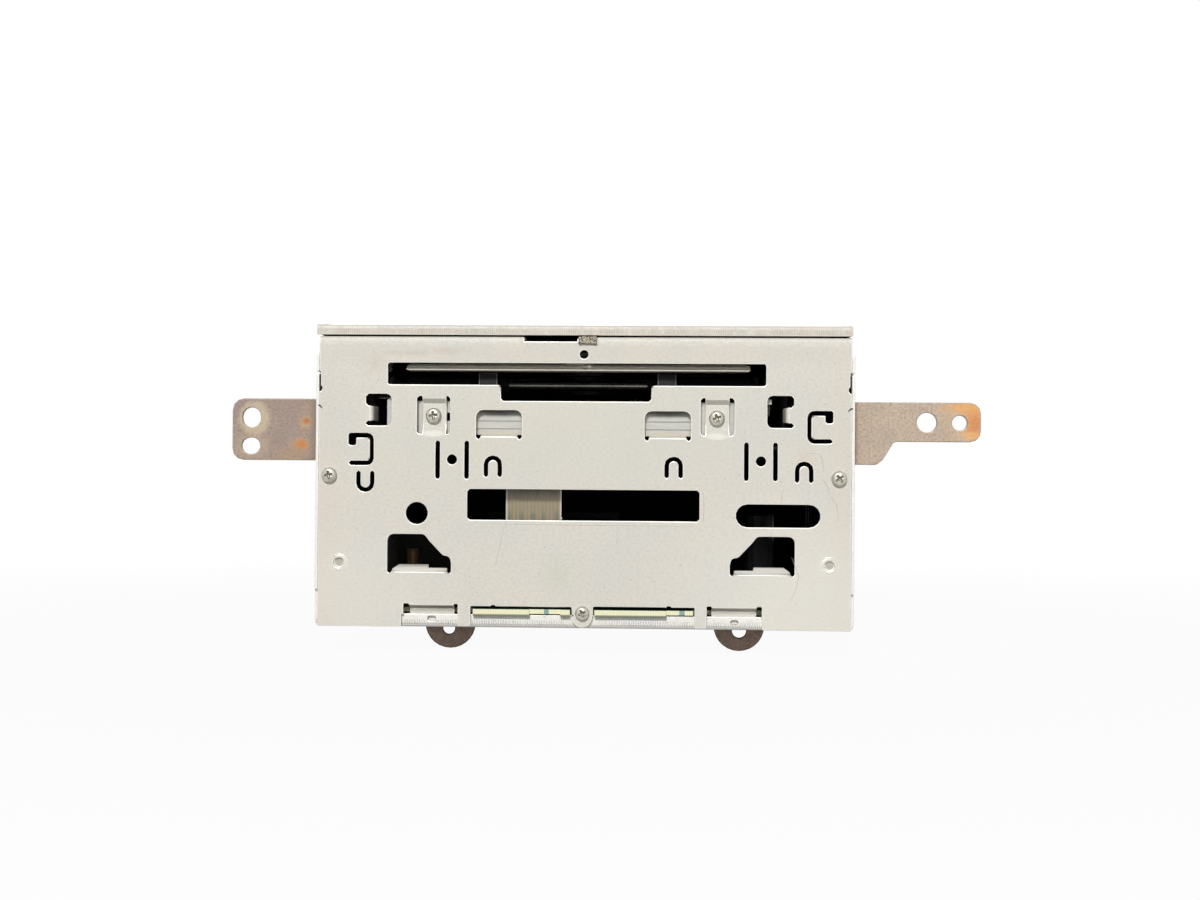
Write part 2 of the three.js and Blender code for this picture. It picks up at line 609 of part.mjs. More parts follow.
add("mechanism_board", join(
  box(-34, 24, 8.6, 52, 57.3, 58.9),
  cut(box(-28, -5.4, 9, 14.5, 53.4, 58), box(-26.4, -7, 8, 12.6, 54.4, 55.7)),
  box(6, 20, 24, 38, 55.6, 58),
), "#4d6a48", 0, 0.6);

// Disc mechanism: frame, lid and upper disc guide
const frontWall = rounded([
  [-65.6, frameFloor], [60.4, frameFloor], [60.4, 74.6], [62.3, 74.6], [62.3, 76.2], [36.6, 76.2, 0.8],
  [36.6, 73.8], [-36.6, 73.8], [-36.6, 76.2, 0.8], [-65.6, 76.2, 0.8],
]);
const floorPlan = rounded([
  [-65.6, frameY], [60.4, frameY], [60.4, 9], [frameRight, 9], [frameRight, frameRear], [frameLeft, frameRear],
  [frameLeft, 9], [-65.6, 9],
]);
const floorOpening = rounded([[-28, 64, 4], [23, 64, 4], [23, 148, 4], [-28, 148, 4]]);
const wallFeet = [30, 118].flatMap((y) => [
  box(plateLeft, frameLeft + 0.5, y, y + 14, frameFloor, frameFloor + sheet),
  box(plateLeft, plateLeft + sheet, y, y + 14, frameFloor, 72),
  box(frameRight - 0.5, plateRight, y, y + 14, frameFloor, frameFloor + sheet),
  box(plateRight - sheet, plateRight, y, y + 14, frameFloor, 72),
]);
const leverLugs = [-1, 1].flatMap((side) => {
  const x = discX + side * 27.4;
  const [near, far] = side < 0 ? [x, x + 1] : [x - 1, x];
  return [
    box(near, far, 27.5, 32.5, frameFloor, 76),
    rod("x", ...leverPivot, 0.8, side < 0 ? x - 3.6 : x - 0.5, side < 0 ? x + 0.5 : x + 3.6, 12),
  ];
});
const mechanismFrame = cut(
  join(
    prism("y", frameY, frameY + sheet, frontWall),
    prism("z", frameFloor, frameFloor + sheet, floorPlan, [floorOpening]),
    box(frameLeft, frameLeft + sheet, 9, frameRear, frameFloor, frameTop),
    box(frameLeft, frameLeft + sheet, 9.5, 34, 80, 96.6),
    box(frameRight - sheet, frameRight, 9, frameRear, frameFloor, frameTop),
    box(frameLeft, frameRight, frameRear - sheet, frameRear, frameFloor, frameTop),
    ...wallFeet,
    ...leverLugs,
    rod("x", ...rollerArmPivot, 1.5, frameLeft + 0.5, -64.6, 12),
    rod("x", ...rollerArmPivot, 1.5, 59.8, frameRight - 0.5, 12),
    rod("x", ...clampPivot, 1.2, frameLeft + 0.5, -66, 10),
    rod("x", ...clampPivot, 1.2, 59.8, frameRight - 0.5, 10),
    rod("x", 90, 76, 1.2, 61.7, frameRight - 0.5, 10),
    rod("x", rollerY, driveGearZ, 1, frameLeft + 0.5, -67, 10),
  ),
  ...screwTabs.map((tab) => rod("y", tab.x, tab.z, 1.7, 2, 5, 10)),
  rod("y", -45, 69.9, 1.4, 2, 5, 12),
  ...screwTabs.flatMap(({ slotLeft, slotRight }) => [
    box(slotLeft - 1, slotLeft + 1.9, 2, 5, 75.1, 77),
    box(slotRight - 2.2, slotRight + 0.5, 2, 5, 75.1, 77),
  ]),
  ...smallWindows.flatMap(([left, right, bottom]) => [
    box(left - 0.6, left + 1.5, 2, 5, bottom - 0.8, bottom + 1.5),
    box(right - 1.7, right + 0.3, 2, 5, bottom - 0.8, bottom + 1.5),
  ]),
  ...slotXs.map((x) => box(x - 1.6, x + 1.6, 2, 20, frameFloor - 1, 62)),
  box(-36, 36, frameY - 1, frameY + 0.35, 65.6, 66.1),
  box(-36, 36, frameY - 1, frameY + 0.35, 68.2, 68.7),
  rod("x", loadingPinionY, driveGearZ, 2, frameLeft - 1, frameLeft + 2, 10),
  ...[52, 84, 116].flatMap((y) => [
    prism("x", frameLeft - 1, frameLeft + 2, slotted([y, 68], [y + 14, 68], 3, 4)),
    prism("x", frameRight - 2, frameRight + 1, slotted([y, 67], [y + 14, 67], 2.6, 4)),
  ]),
);
add("mechanism_frame", mechanismFrame, innerSteel, 0.4, 0.45);

const lidPlan = rounded([
  [-66.4, 9], [frameRight, 9], [frameRight, frameRear], [frameLeft, frameRear], [frameLeft, 34.5], [-66.4, 34.5],
]);
add("mechanism_lid", prism("z", frameTop + gap, frameTop + gap + sheet, lidPlan, [
  circle(discX, spindleY, 9, 24),
  ...[60, 122].flatMap((y) => [slotted([-50, y], [-30, y], 4, 4), slotted([26, y], [46, y], 4, 4)]),
]), innerSteel, 0.4, 0.45);

const guideFront = rounded([
  [-59.5, 87.9, 0.4], [-59.5, 86.6, 0.3], [-58.4, 85.55, 0.3], [54.3, 85.55, 0.9], [55.3, 86.6, 0.5],
  [55.3, 87.9, 0.4],
]);
add("disc_guide", join(
  prism("y", 5, 11, guideFront),
  box(-58, 54, 10.5, 32, 86.6, 87.9),
  ...[-50, -6.5, 37].flatMap((x) => box(x, x + 9, 14, 26, 87.5, frameTop)),
), whitePlastic, 0, 0.45);

// Levers in front of the roller; the disc pushes their tops down
function discLever(side) {
  const inner = discX + side * (side < 0 ? 26.85 : 26.95);
  const outer = inner + side * 6.3;
  const boss = discX + side * 29.5;
  const span = [Math.min(inner, outer), Math.max(inner, outer)];
  const upright = rounded([[7.5, 72.8], [8.5, 72.8], [8.5, 84.9], [7.9, 84.9], [7.5, 84.2]]);
  return cut(
    join(
      prism("x", ...span, upright),
      box(boss - 1, boss + 1, 8, leverPivot[0], 72.8, 74),
      box(boss - 3, boss + 3, 8, 11, 72.8, 74),
      rod("x", ...leverPivot, 1.8, boss - 1, boss + 1, 16),
    ),
    rod("x", ...leverPivot, 1.1, boss - 2, boss + 2, 12),
  );
}
add("left_disc_lever", discLever(-1), "#3a3936");
add("right_disc_lever", discLever(1), "#3a3936");

// Gears: involute teeth, thinned for running clearance
function gearOutline([u, v], teeth, toothAngle) {
  const pitch = (teeth * gearModule) / 2;
  const base = pitch * Math.cos(Math.PI / 9);
  const involute = (radius) => {
    const angle = Math.acos(Math.min(1, base / radius));
    return Math.tan(angle) - angle;
  };
  const halfTooth = (radius) => (Math.PI / teeth) * 0.4 + involute(pitch) - involute(Math.max(radius, base));
  const radii = [pitch - 1.25 * gearModule, pitch + 0.8 * gearModule];
  const points = [];
  for (let k = 0; k < teeth; k += 1) {
    const centre = toothAngle + (k * Math.PI * 2) / teeth;
    radii.forEach((radius) => points.push([radius, centre - halfTooth(radius)]));
    [...radii].reverse().forEach((radius) => points.push([radius, centre + halfTooth(radius)]));
  }
  return points.map(([radius, angle]) => {
    return new THREE.Vector2(u + radius * Math.cos(angle), v + radius * Math.sin(angle));
  });
}

// Roller arm, feed roller and its drive
const armSides = [[-66.45, -65.45], [60.55, 61.55]];
const armOutline = slotted([rollerY, rollerZ], rollerArmPivot, 3, 6);
const rollerArm = cut(
  join(
    ...armSides.map(([from, to]) => prism("x", from, to, armOutline)),
    box(-66.45, 61.55, 42, 53, 74.4, 75.4),
    rod("x", ...rollerPin, 0.8, 61, 63, 10),
  ),
  rod("x", rollerY, rollerZ, 1.4, -70, 70, 12),
  rod("x", ...rollerArmPivot, 1.8, -70, 70, 12),
);
add("roller_arm", rollerArm, innerSteel, 0.5, 0.4);

const rollerGear = prism("x", -70.8, -67.6, gearOutline([rollerY, rollerZ], 14, Math.PI / 2));
add("feed_shaft", join(rod("x", rollerY, rollerZ, 1.1, -71.2, 62.6, 14), rollerGear), zinc, 0.8, 0.25);

// A rubber sleeve, thicker at the outside so that the disc centres itself.
function feedSleeve(side) {
  const inner = discX + side * 23.5;
  const outer = discX + side * 58;
  const steps = 14;
  const ends = side < 0 ? [[outer, 2.8], [inner, 2.3]] : [[inner, 2.3], [outer, 2.8]];
  const profile = [[0, ends[0][0]], [ends[0][1], ends[0][0]], [ends[1][1], ends[1][0]], [0, ends[1][0]]];
  return cut(
    turned("x", [0, rollerY, rollerZ], profile, steps),
    rod("x", rollerY, rollerZ, 1.4, inner < outer ? inner - 1 : outer - 1, inner < outer ? outer + 1 : inner + 1, 14),
  );
}
add("left_feed_sleeve", feedSleeve(-1), rubber, 0, 0.8);
add("right_feed_sleeve", feedSleeve(1), rubber, 0, 0.8);

add("drive_gear", prism(
  "x", -70.8, -67.6, gearOutline([rollerY, driveGearZ], 14, (Math.PI * 13) / 14 - Math.PI * 1.5 + Math.PI / 7),
  [circle(rollerY, driveGearZ, 1.3, 12)],
), whitePlastic);
add("loading_pinion", join(
  prism("x", -70.8, -67.6, gearOutline([loadingPinionY, driveGearZ], 10, Math.PI * 1.1)),
  rod("x", loadingPinionY, driveGearZ, 0.8, -75.4, -70, 8),
), whitePlastic);
add("loading_motor", cut(
  rod("x", loadingPinionY, driveGearZ, 6.3, -86, frameLeft - gap, 18),
  rod("x", loadingPinionY, driveGearZ, 1.2, -76, -72, 10),
), "#b9b8b2", 0.7, 0.35);

// Mode slider: moving back, its slanted slots lower the roller arm and the clamp arm together
function lowered([y, z], [pivotY, pivotZ], degrees) {
  return new THREE.Vector2(y, z).rotateAround(new THREE.Vector2(pivotY, pivotZ), (degrees * Math.PI) / 180);
}
function cam(pin, pivot, degrees) {
  const end = lowered(pin, pivot, degrees);
  return slotted([end.x - sliderTravel, end.y], pin, 1.25, 5);
}
const sliderOutline = rounded([
  [23, 71.5, 2], [124, 71.5, 2], [124, 89.8, 2], [98, 89.8, 2], [98, 81.8, 2], [23, 81.8, 2],
]);
add("mode_slider", prism("x", 62.05, 63.05, sliderOutline, [
  cam(rollerPin, rollerArmPivot, rollerDrop),
  cam(clampPin, clampPivot, clampDrop),
  slotted([rollerArmPivot[0] - sliderTravel, rollerArmPivot[1]], rollerArmPivot, 1.9, 6),
  slotted([90 - sliderTravel, 76], [90, 76], 1.55, 5),
]), innerSteel, 0.5, 0.4);

// Clamp arm and the clamper that hangs in it
const armPlan = rounded([
  [discX - 11, 73.5, 8], [discX + 11, 73.5, 8], [discX + 11, 112, 4], [61.6, 116, 2], [61.6, 150], [-67.8, 150],
  [-67.8, 116, 2], [discX - 11, 112, 4],
]);
const clampArm = cut(
  join(
    prism("z", 88, 89, armPlan, [circle(discX, spindleY, 5.2, 20)]),
    box(-67.8, -66.8, 143, 149.5, 85.3, 88.5),
    box(60.6, 61.6, 143, 149.5, 85.3, 88.5),
    box(60.6, 61.6, 106, 122, 84.9, 89),
    box(58, 61.6, 115, 122, 88, 89),
    rod("x", ...clampPin, 0.8, 61, 63, 10),
  ),
  rod("x", ...clampPivot, 1.5, -70, 70, 12),
);
add("clamp_arm", clampArm, innerSteel, 0.5, 0.4);
add("clamper", turned("z", [discX, spindleY, 0], [
  [0, 86.7], [8.5, 86.7], [9, 85.75], [13.2, 85.75], [13.2, 87.3], [4.5, 87.4], [4.2, 89.6], [7.5, 89.6],
  [7.2, 90.4], [0, 90.4],
], 18), blackPlastic);

// Deck on rubber dampers, with the spindle, the pickup and its drive
const railYs = [[96, 98.4], [148, 150.2]];
const deckPlan = rounded([[-46, 66, 4], [41, 66, 4], [41, 150.8, 4], [-46, 150.8, 4]]);
const railX = [discX - railOffset, discX + railOffset];
const railBlocks = railYs.flatMap(([from, to]) => railX.map((x) => box(x - 3, x + 3, from, to, 68.5, 78.3)));
const deckPlate = cut(
  join(prism("z", deckBottom, deckBottom + sheet, deckPlan), ...railBlocks),
  rod("z", discX, spindleY, 5, 60, 75, 16),
  ...railX.map((x) => rod("y", x, railZ, 1.8, 90, 149.4, 12)),
  prism("z", 60, 72, slotted([-38, 92], [-38, 122], 3, 4)),
  prism("z", 60, 72, slotted([33, 122], [33, 132], 3, 4)),
);
add("deck_plate", deckPlate, innerSteel, 0.5, 0.4);
const damperProfile = [[0, 0], [4.2, 0], [4.6, 1.6], [3.2, 3.2], [4.6, 4.8], [4.2, 6.4], [0, 6.4]];
const damperNames = ["front_left_damper", "front_right_damper", "rear_left_damper", "rear_right_damper"];
[[-40, 72], [35, 72], [-40, 144], [35, 144]].forEach(([x, y], k) => {
  add(damperNames[k], turned("z", [x, y, frameFloor + sheet + gap], damperProfile, 8), rubber, 0, 0.8);
});
add("spindle_motor", cut(
  rod("z", discX, spindleY, 11, 58.6, deckBottom - gap, 16),
  rod("z", discX, spindleY, 1.4, 66, 69, 10),
), "#b9b8b2", 0.7, 0.35);
add("turntable", turned("z", [discX, spindleY, 0], [
  [0, 66.6], [1, 66.6], [1, 72], [3.2, 72.6], [3.2, 79.6], [14, 80.8], [14, tableTop], [7.4, tableTop],
  [6.2, tableTop + 1.4], [0, tableTop + 1.4],
], 18), blackPlastic);

const pickupSled = cut(
  join(
    box(-23.2, 16.3, 99, 114.5, 71.6, 79.2),
    rod("z", discX, spindleY + 25, 3.9, 79, 80.2, 18),
  ),
  box(-15, -10, 98, 116, 75.5, 80),
  ...railX.map((x) => rod("y", x, railZ, 1.8, 98, 116, 12)),
  rod("z", discX, spindleY + 25, 2.9, 78.4, 81, 18),
  box(2.6, 11, 101.5, 112, 78, 80),
);
add("pickup_sled", pickupSled, blackPlastic);
add("pickup_lens", turned("z", [discX, spindleY + 25, 0], [
  [0, 78.7], [2.5, 78.7], [2.5, 80.2], [1.6, 80.6], [0, 80.75],
], 16), "#5f7fa8", 0, 0.1);
add("guide_rod", rod("y", railX[0], railZ, 1.5, 95.4, 149.1, 14), zinc, 0.8, 0.25);
add("lead_screw", join(
  rod("y", railX[1], railZ, 1.5, 92, 149.1, 14),
  prism("y", 92.4, 95.6, gearOutline([railX[1], railZ], 16, 0)),
), zinc, 0.8, 0.25);
add("sled_pinion", join(
  prism("y", 92.4, 95.6, gearOutline([sledPinionX, railZ], 10, Math.PI * 1.1)),
  rod("y", sledPinionX, railZ, 0.8, 95, 98.6, 8),
), whitePlastic);
add("sled_motor", cut(
  rod("y", sledPinionX, railZ, 4.6, 97, 116, 16),
  rod("y", sledPinionX, railZ, 1.2, 96, 99.4, 10),
), "#b9b8b2", 0.7, 0.35);

// The origin is the middle of the underside of the whole part.
radio.position.set(-(leftEnd + rightEnd) / 2, -(176 + tongueReach) / 2, earRadius - earCentreZ);

export default radio;
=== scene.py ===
from collections import namedtuple
from functools import partial
from math import cos, pi, radians, sin

import bmesh
import bpy
import numpy as np
from mathutils import Matrix, Vector
from mathutils.geometry import delaunay_2d_cdt


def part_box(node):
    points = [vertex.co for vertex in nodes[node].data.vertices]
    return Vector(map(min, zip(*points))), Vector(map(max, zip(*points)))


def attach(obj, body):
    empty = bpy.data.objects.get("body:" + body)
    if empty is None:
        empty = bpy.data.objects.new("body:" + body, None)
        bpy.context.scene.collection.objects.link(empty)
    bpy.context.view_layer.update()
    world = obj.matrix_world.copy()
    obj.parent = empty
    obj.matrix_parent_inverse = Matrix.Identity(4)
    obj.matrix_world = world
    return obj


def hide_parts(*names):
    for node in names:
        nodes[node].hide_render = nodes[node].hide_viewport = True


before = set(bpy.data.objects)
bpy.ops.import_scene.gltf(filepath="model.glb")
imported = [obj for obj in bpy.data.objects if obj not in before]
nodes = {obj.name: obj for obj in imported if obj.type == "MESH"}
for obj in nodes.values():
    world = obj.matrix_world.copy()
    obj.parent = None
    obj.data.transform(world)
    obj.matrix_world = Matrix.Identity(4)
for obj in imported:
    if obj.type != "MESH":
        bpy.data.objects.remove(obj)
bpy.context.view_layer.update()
print("frame loaded:", len(nodes), "nodes")

# Places below are in millimetres from the plate's middle line at the chassis' lower front edge:
# x to the right, y to the rear, z up
trayLow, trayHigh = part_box("chassis_tray")
millimetre = 0.001
trayMiddle, trayHalf = 0.25, 89.25
frontEdge = np.array([(trayLow.x + trayHigh.x) / 2 - trayMiddle * millimetre, trayLow.y, trayLow.z])


def inFrame(points):
    return frontEdge + np.asarray(points, float) * millimetre


# Camera, floor and light
cameraLook = {
    "place": (27.1, -544.7, 51.2),
    "right": (0.99919, 0.03946, 0.00742),
    "up": (-0.00684, -0.0148, 0.99987),
    "back": (0.03956, -0.99911, -0.01452),
    "lens": 49.5, "shift": 0.0004,
}
lampLooks = {
    "key_lamp": {"place": (-440, -3600, 2540), "size": 0.8, "power": 155.0},
    "fill_lamp": {"place": (300, -1300, 300), "size": 0.9, "power": 2.2},
    "rear_lamp": {"place": (300, 1100, 800), "size": 0.9, "power": 5.0},
}
studioLook = {"skyForDiffuse": 0.035, "paper": "#AAAAA7", "floorWhiteness": 0.95, "floorSize": 12.0,
              "fade": (0.2, 0.6), "target": (0, 60, 50)}


def linear(hexColour):
    # sRGB hex to the linear colour that the shaders work in
    channels = np.array([int(hexColour[k:k + 2], 16) for k in (1, 3, 5)]) / 255
    bright = ((channels + 0.055) / 1.055) ** 2.4
    return (*np.where(channels <= 0.04045, channels / 12.92, bright).tolist(), 1.0)


# What every node of these kinds is set to here
usualSettings = {"MapRange": {"interpolation_type": "SMOOTHSTEP"}, "Mix": {"data_type": "RGBA"}}


def addNode(tree, kind, inputs=(), **settings):
    # Adds a node with its settings. Inputs go by name or number, or in the sockets' order, and a node among
    # them stands for its first output in use
    made = tree.nodes.new("ShaderNode" + kind)
    for key, value in {**usualSettings.get(kind, {}), **settings}.items():
        setattr(made, key, value)
    for key, value in (inputs.items() if isinstance(inputs, dict) else enumerate(inputs)):
        if isinstance(value, bpy.types.Node):
            value = next(socket for socket in value.outputs if socket.enabled)
        if isinstance(value, bpy.types.NodeSocket):
            tree.links.new(value, made.inputs[key])
        else:
            made.inputs[key].default_value = value
    return made


def emptyMaterial(name):
    material = bpy.data.materials.new(name)
    material.use_nodes = True
    material.node_tree.nodes.clear()
    return material, partial(addNode, material.node_tree)


def seenDirectly(add):
    # 1 for rays that show the background as itself: camera, mirror and glass rays
    path = add("LightPath").outputs
    either = add("Math", (path["Is Camera Ray"], path["Is Glossy Ray"]), operation="ADD")
    return add("Math", (either, path["Is Transmission Ray"]), operation="ADD", use_clamp=True)


cameraData = bpy.data.cameras.new("photo_camera")
cameraData.sensor_width = 36
cameraData.lens = cameraLook["lens"]
cameraData.clip_start = 0.01
camera = bpy.data.objects.new("photo_camera", cameraData)
axes = Matrix([cameraLook[k] for k in ("right", "up", "back")]).transposed()
camera.matrix_world = Matrix.Translation(inFrame(cameraLook["place"])) @ axes.to_4x4()
cameraData.shift_x = cameraLook["shift"]
bpy.context.scene.collection.objects.link(camera)
bpy.context.scene.camera = camera

for name, look in lampLooks.items():
    lampData = bpy.data.lights.new(name, "AREA")
    lampData.shape = "DISK"
    lampData.size = look["size"]
    lampData.energy = look["power"]
    lamp = bpy.data.objects.new(name, lampData)
    lamp.location = inFrame(look["place"])
    towards = Vector(inFrame(studioLook["target"])) - lamp.location
    lamp.rotation_euler = towards.to_track_quat("-Z", "Y").to_euler()
    bpy.context.scene.collection.objects.link(lamp)

plainWhite = (1, 1, 1, 1)
world = bpy.data.worlds.new("white_room")
world.use_nodes = True
world.node_tree.nodes.clear()
add = partial(addNode, world.node_tree)
dim = add("Background", (plainWhite, studioLook["skyForDiffuse"]))
white = add("Background", (plainWhite, 1.0))
add("OutputWorld", (add("MixShader", (seenDirectly(add), dim, white)),))
bpy.context.scene.world = world

# Matt white paper floor: most of it shows as plain white, and the rest keeps the object's shadow
floorMaterial, add = emptyMaterial("matt_white_paper")
paper = add("BsdfPrincipled", {"Base Color": linear(studioLook["paper"]), "Roughness": 0.95})
blank = add("Emission", (plainWhite, 1.0))
away = add("VectorMath", (add("TexCoord").outputs["Object"],), operation="LENGTH")
nearest, farthest = studioLook["fade"]
plain = add("MapRange", (away, nearest, farthest, studioLook["floorWhiteness"], 1.0))
share = add("Math", (seenDirectly(add), plain), operation="MULTIPLY")
add("OutputMaterial", (add("MixShader", (share, paper, blank)),))
half = studioLook["floorSize"] / 2
floorMesh = bpy.data.meshes.new("floor")
floorMesh.from_pydata([(-half, -half, 0), (half, -half, 0), (half, half, 0), (-half, half, 0)], [], [(0, 1, 2, 3)])
floorMesh.materials.append(floorMaterial)
floor = bpy.data.objects.new("floor", floorMesh)
bpy.context.scene.collection.objects.link(floor)
bpy.context.view_layer.update()
bpy.context.scene.view_settings.view_transform = "Standard"
print("camera, lamps and floor ready")


# Finishes: every pattern is laid out in millimetres of the object
def placeInMillimetres(add):
    shift = tuple((-frontEdge / millimetre).tolist())
    spot = add("TexCoord").outputs["Object"]
    return add("Mapping", {"Vector": spot, "Location": shift, "Scale": (1 / millimetre,) * 3})


def softLumps(add, place, size, detail=2.0, stretch=(1, 1, 1)):
    # Soft noise whose lumps are about `size` millimetres, longer where stretch is above 1
    spot = add("Mapping", {"Vector": place, "Scale": tuple(1 / (size * s) for s in stretch)})
    return add("TexNoise", {"Vector": spot, "Scale": 1.0, "Detail": detail})


def bandScale(gap):
    # A band texture repeats 20 times in 2 pi, so this scale sets its bands `gap` millimetres apart
    return 2 * pi / (gap * 20)


def layered(add, base, layers):
    # The base, with each (share, colour) laid over what is below it. A colour is sRGB hex or a node, and
    # inputs 6 and 7 are the Mix node's colours
    colour = linear(base) if isinstance(base, str) else base
    for share, tone in layers:
        above = linear(tone) if isinstance(tone, str) else tone
        colour = add("Mix", {0: share, 6: colour, 7: above})
    return colour


# A stain, worn spot, painted shade or painted highlight: its middle and half size, how soft and how ragged its
# edge is, and the depth behind which it lies if it isn't on every face there
markAt = namedtuple("markAt", "x z wide high colour strength fade wobble behind", defaults=[None])


def blotch(add, place, ragged, mark):
    # 1 inside an oval round (x, z), fading out across its ragged edge
    spot = add("Mapping", {"Vector": place, "Location": (-mark.x / mark.wide, 0, -mark.z / mark.high),
                           "Scale": (1 / mark.wide, 0, 1 / mark.high)})
    away = add("VectorMath", (spot,), operation="LENGTH")
    rough = add("Math", (ragged, mark.wobble, away), operation="MULTIPLY_ADD")
    middle = 1 + mark.wobble / 2
    share = add("MapRange", (rough, middle - mark.fade, middle + mark.fade, mark.strength, 0.0))
    if mark.behind is None:
        return share
    depth = add("SeparateXYZ", (place,)).outputs[1]
    beyond = add("MapRange", (depth, mark.behind - 0.2, mark.behind + 0.2))
    return add("Math", (share, beyond), operation="MULTIPLY")


# A level line: ticks where a neighbouring part has rubbed, and on the tray lip a darker line along its lower
# bend. A tick shows where its wave passes a limit, which wanders from one of the two limits to the other
rubbedAt = namedtuple("rubbedAt", "height reach tick limits colour strength")


def rubbedLine(add, place, line):
    # Uneven upright ticks along the line, on faces less than 2.5 mm behind the front
    axes = add("SeparateXYZ", (place,)).outputs
    offset = add("Math", (axes[2], line.height), operation="SUBTRACT")
    away = add("Math", (offset,), operation="ABSOLUTE")
    band = add("MapRange", (away, line.reach * 0.5, line.reach, 1.0, 0.0))
    front = add("MapRange", (axes[1], 2.4, 2.6, line.strength, 0.0))
    scale = bandScale(line.tick)
    ticks = add("TexWave", {"Vector": place, "Scale": scale, "Distortion": 5.0, "Detail Scale": 2.0}).outputs[1]
    limit = add("MapRange", (softLumps(add, place, 12, 3.0), 0.4, 0.6, *line.limits))
    sharp = add("Math", (ticks, limit), operation="SUBTRACT")
    strip = add("Math", (band, front), operation="MULTIPLY")
    return add("Math", (strip, add("MapRange", (sharp, 0.0, 0.25))), operation="MULTIPLY")


caseInside = {"low": (-88.1, 3.2, 0.95), "high": (88.6, 159.1, 99.45)}


def insideCase(add, place, narrower):
    # 1 on faces within the closed case, 0 on its outside faces and just behind its front
    inward = np.array((narrower, 0, 0))
    low, high = np.array(caseInside["low"]) + inward, np.array(caseInside["high"]) - inward
    spot = add("Mapping", {"Vector": place, "Location": tuple(-(low + high) / (high - low)),
                           "Scale": tuple(2 / (high - low))})
    parts = add("SeparateXYZ", (add("VectorMath", (spot,), operation="ABSOLUTE"),)).outputs
    widest = add("Math", (parts[0], parts[1]), operation="MAXIMUM")
    widest = add("Math", (widest, parts[2]), operation="MAXIMUM")
    return add("MapRange", (widest, 0.999, 1.001, 1.0, 0.0))


def finishOf(pattern):
    # Makes materials from a pattern, which gives their colour, roughness and relief
    def make(name, look):
        material, add = emptyMaterial(name)
        place = placeInMillimetres(add)
        colour, roughness, relief = pattern(add, place, look)
        metallic = look.get("metallic", 0.0)
        if "inside" in look:
            # Painted shade: the case's inside, which little light reaches, is painted dark and made matt
            inside = insideCase(add, place, look.get("narrower", 0))
            colour = layered(add, colour, [(inside, look["inside"])])
            metallic = add("MapRange", (inside, 0.0, 1.0, metallic, 0.0))
            roughness = add("Math", (roughness, inside), operation="MAXIMUM")
        bump = add("Bump", {"Height": relief, "Strength": 1.0, "Distance": look["relief"] * millimetre})
        shader = add("BsdfPrincipled", {
            "Base Color": colour, "Metallic": metallic, "Roughness": roughness, "Normal": bump,
            "Specular IOR Level": look.get("shine", 0.5), "Coat Weight": look.get("coat", 0.0),
        })
        add("OutputMaterial", (shader,))
        return material
    return make


steelLook = {"stretch": (6, 1, 1), "speckGap": 3.5, "speck": 0.3, "speckStrength": 0.5, "ragged": 2.5, "marks": (),
             "rubbed": ()}


@finishOf
def rolledSteel(add, place, look):
    # Rolled sheet steel: broad clouds of two tints, a fine grain along the rolling, sparse dark specks
    look = {**steelLook, **look}
    clouds = add("MapRange", (softLumps(add, place, look["cloud"], 3.0), 0.35, 0.65))
    grain = softLumps(add, place, look["grain"], 3.0, look["stretch"])
    streaks = add("MapRange", (grain, 0.3, 0.75, 0.0, look["grainStrength"]))
    dots = add("TexVoronoi", {"Vector": place, "Scale": 1 / look["speckGap"]}).outputs["Distance"]
    size = look["speck"] / look["speckGap"]
    specks = add("MapRange", (dots, size * 0.5, size, look["speckStrength"], 0.0))
    layers = [(clouds, look["cool"]), (streaks, look["shade"]), (specks, look["dark"])]
    ragged = softLumps(add, place, look["ragged"], 4.0)
    layers += [(blotch(add, place, ragged, mark), mark.colour) for mark in look["marks"]]
    layers += [(rubbedLine(add, place, line), line.colour) for line in look["rubbed"]]
    # Painted shade in the screws' cross recesses, rising with the sunk attribute
    if "hollow" in look:
        layers.append((add("Attribute", attribute_name="sunk").outputs["Fac"], look["hollow"]))
    roughness = add("MapRange", (grain, 0.3, 0.7, *look["roughness"]))
    return layered(add, look["warm"], layers), roughness, grain


@finishOf
def mouldedPlastic(add, place, look):
    # Injection-moulded plastic: a fine even grain, slight dust in broad patches
    grain = softLumps(add, place, look["grain"], 2.0)
    dust = softLumps(add, place, look.get("cloud", 12), 4.0)
    layers = [(add("MapRange", (dust, 0.4, 0.75, 0.0, 0.35)), look["dust"])]
    layers += [(blotch(add, place, dust, mark), mark.colour) for mark in look.get("marks", ())]
    roughness = add("MapRange", (dust, 0.3, 0.7, *look["roughness"]))
    return layered(add, look["colour"], layers), roughness, grain


plateLook = {
    "warm": "#DFD9CE", "cool": "#D9D7D0", "shade": "#BEB9AD", "dark": "#8F8878", "cloud": 26, "grain": 0.8,
    "grainStrength": 0.33, "metallic": 0.06, "roughness": (0.5, 0.65), "relief": 0.015, "stretch": (1.4, 1, 1),
}
rubbedLines = [
    rubbedAt(97.9, 1.4, 7, (0.1, 0.0), "#C9BFB0", 0.35),
    rubbedAt(98.2, 0.9, 0.75, (0.85, 0.45), "#A0988A", 0.42),
    rubbedAt(1.9, 0.8, 0.8, (0.8, 0.45), "#8A8781", 0.45),
    # A darker line along the tray lip's lower bend
    rubbedAt(1.1, 0.3, 0.6, (0.4, 0.0), "#8E8A83", 0.6),
]
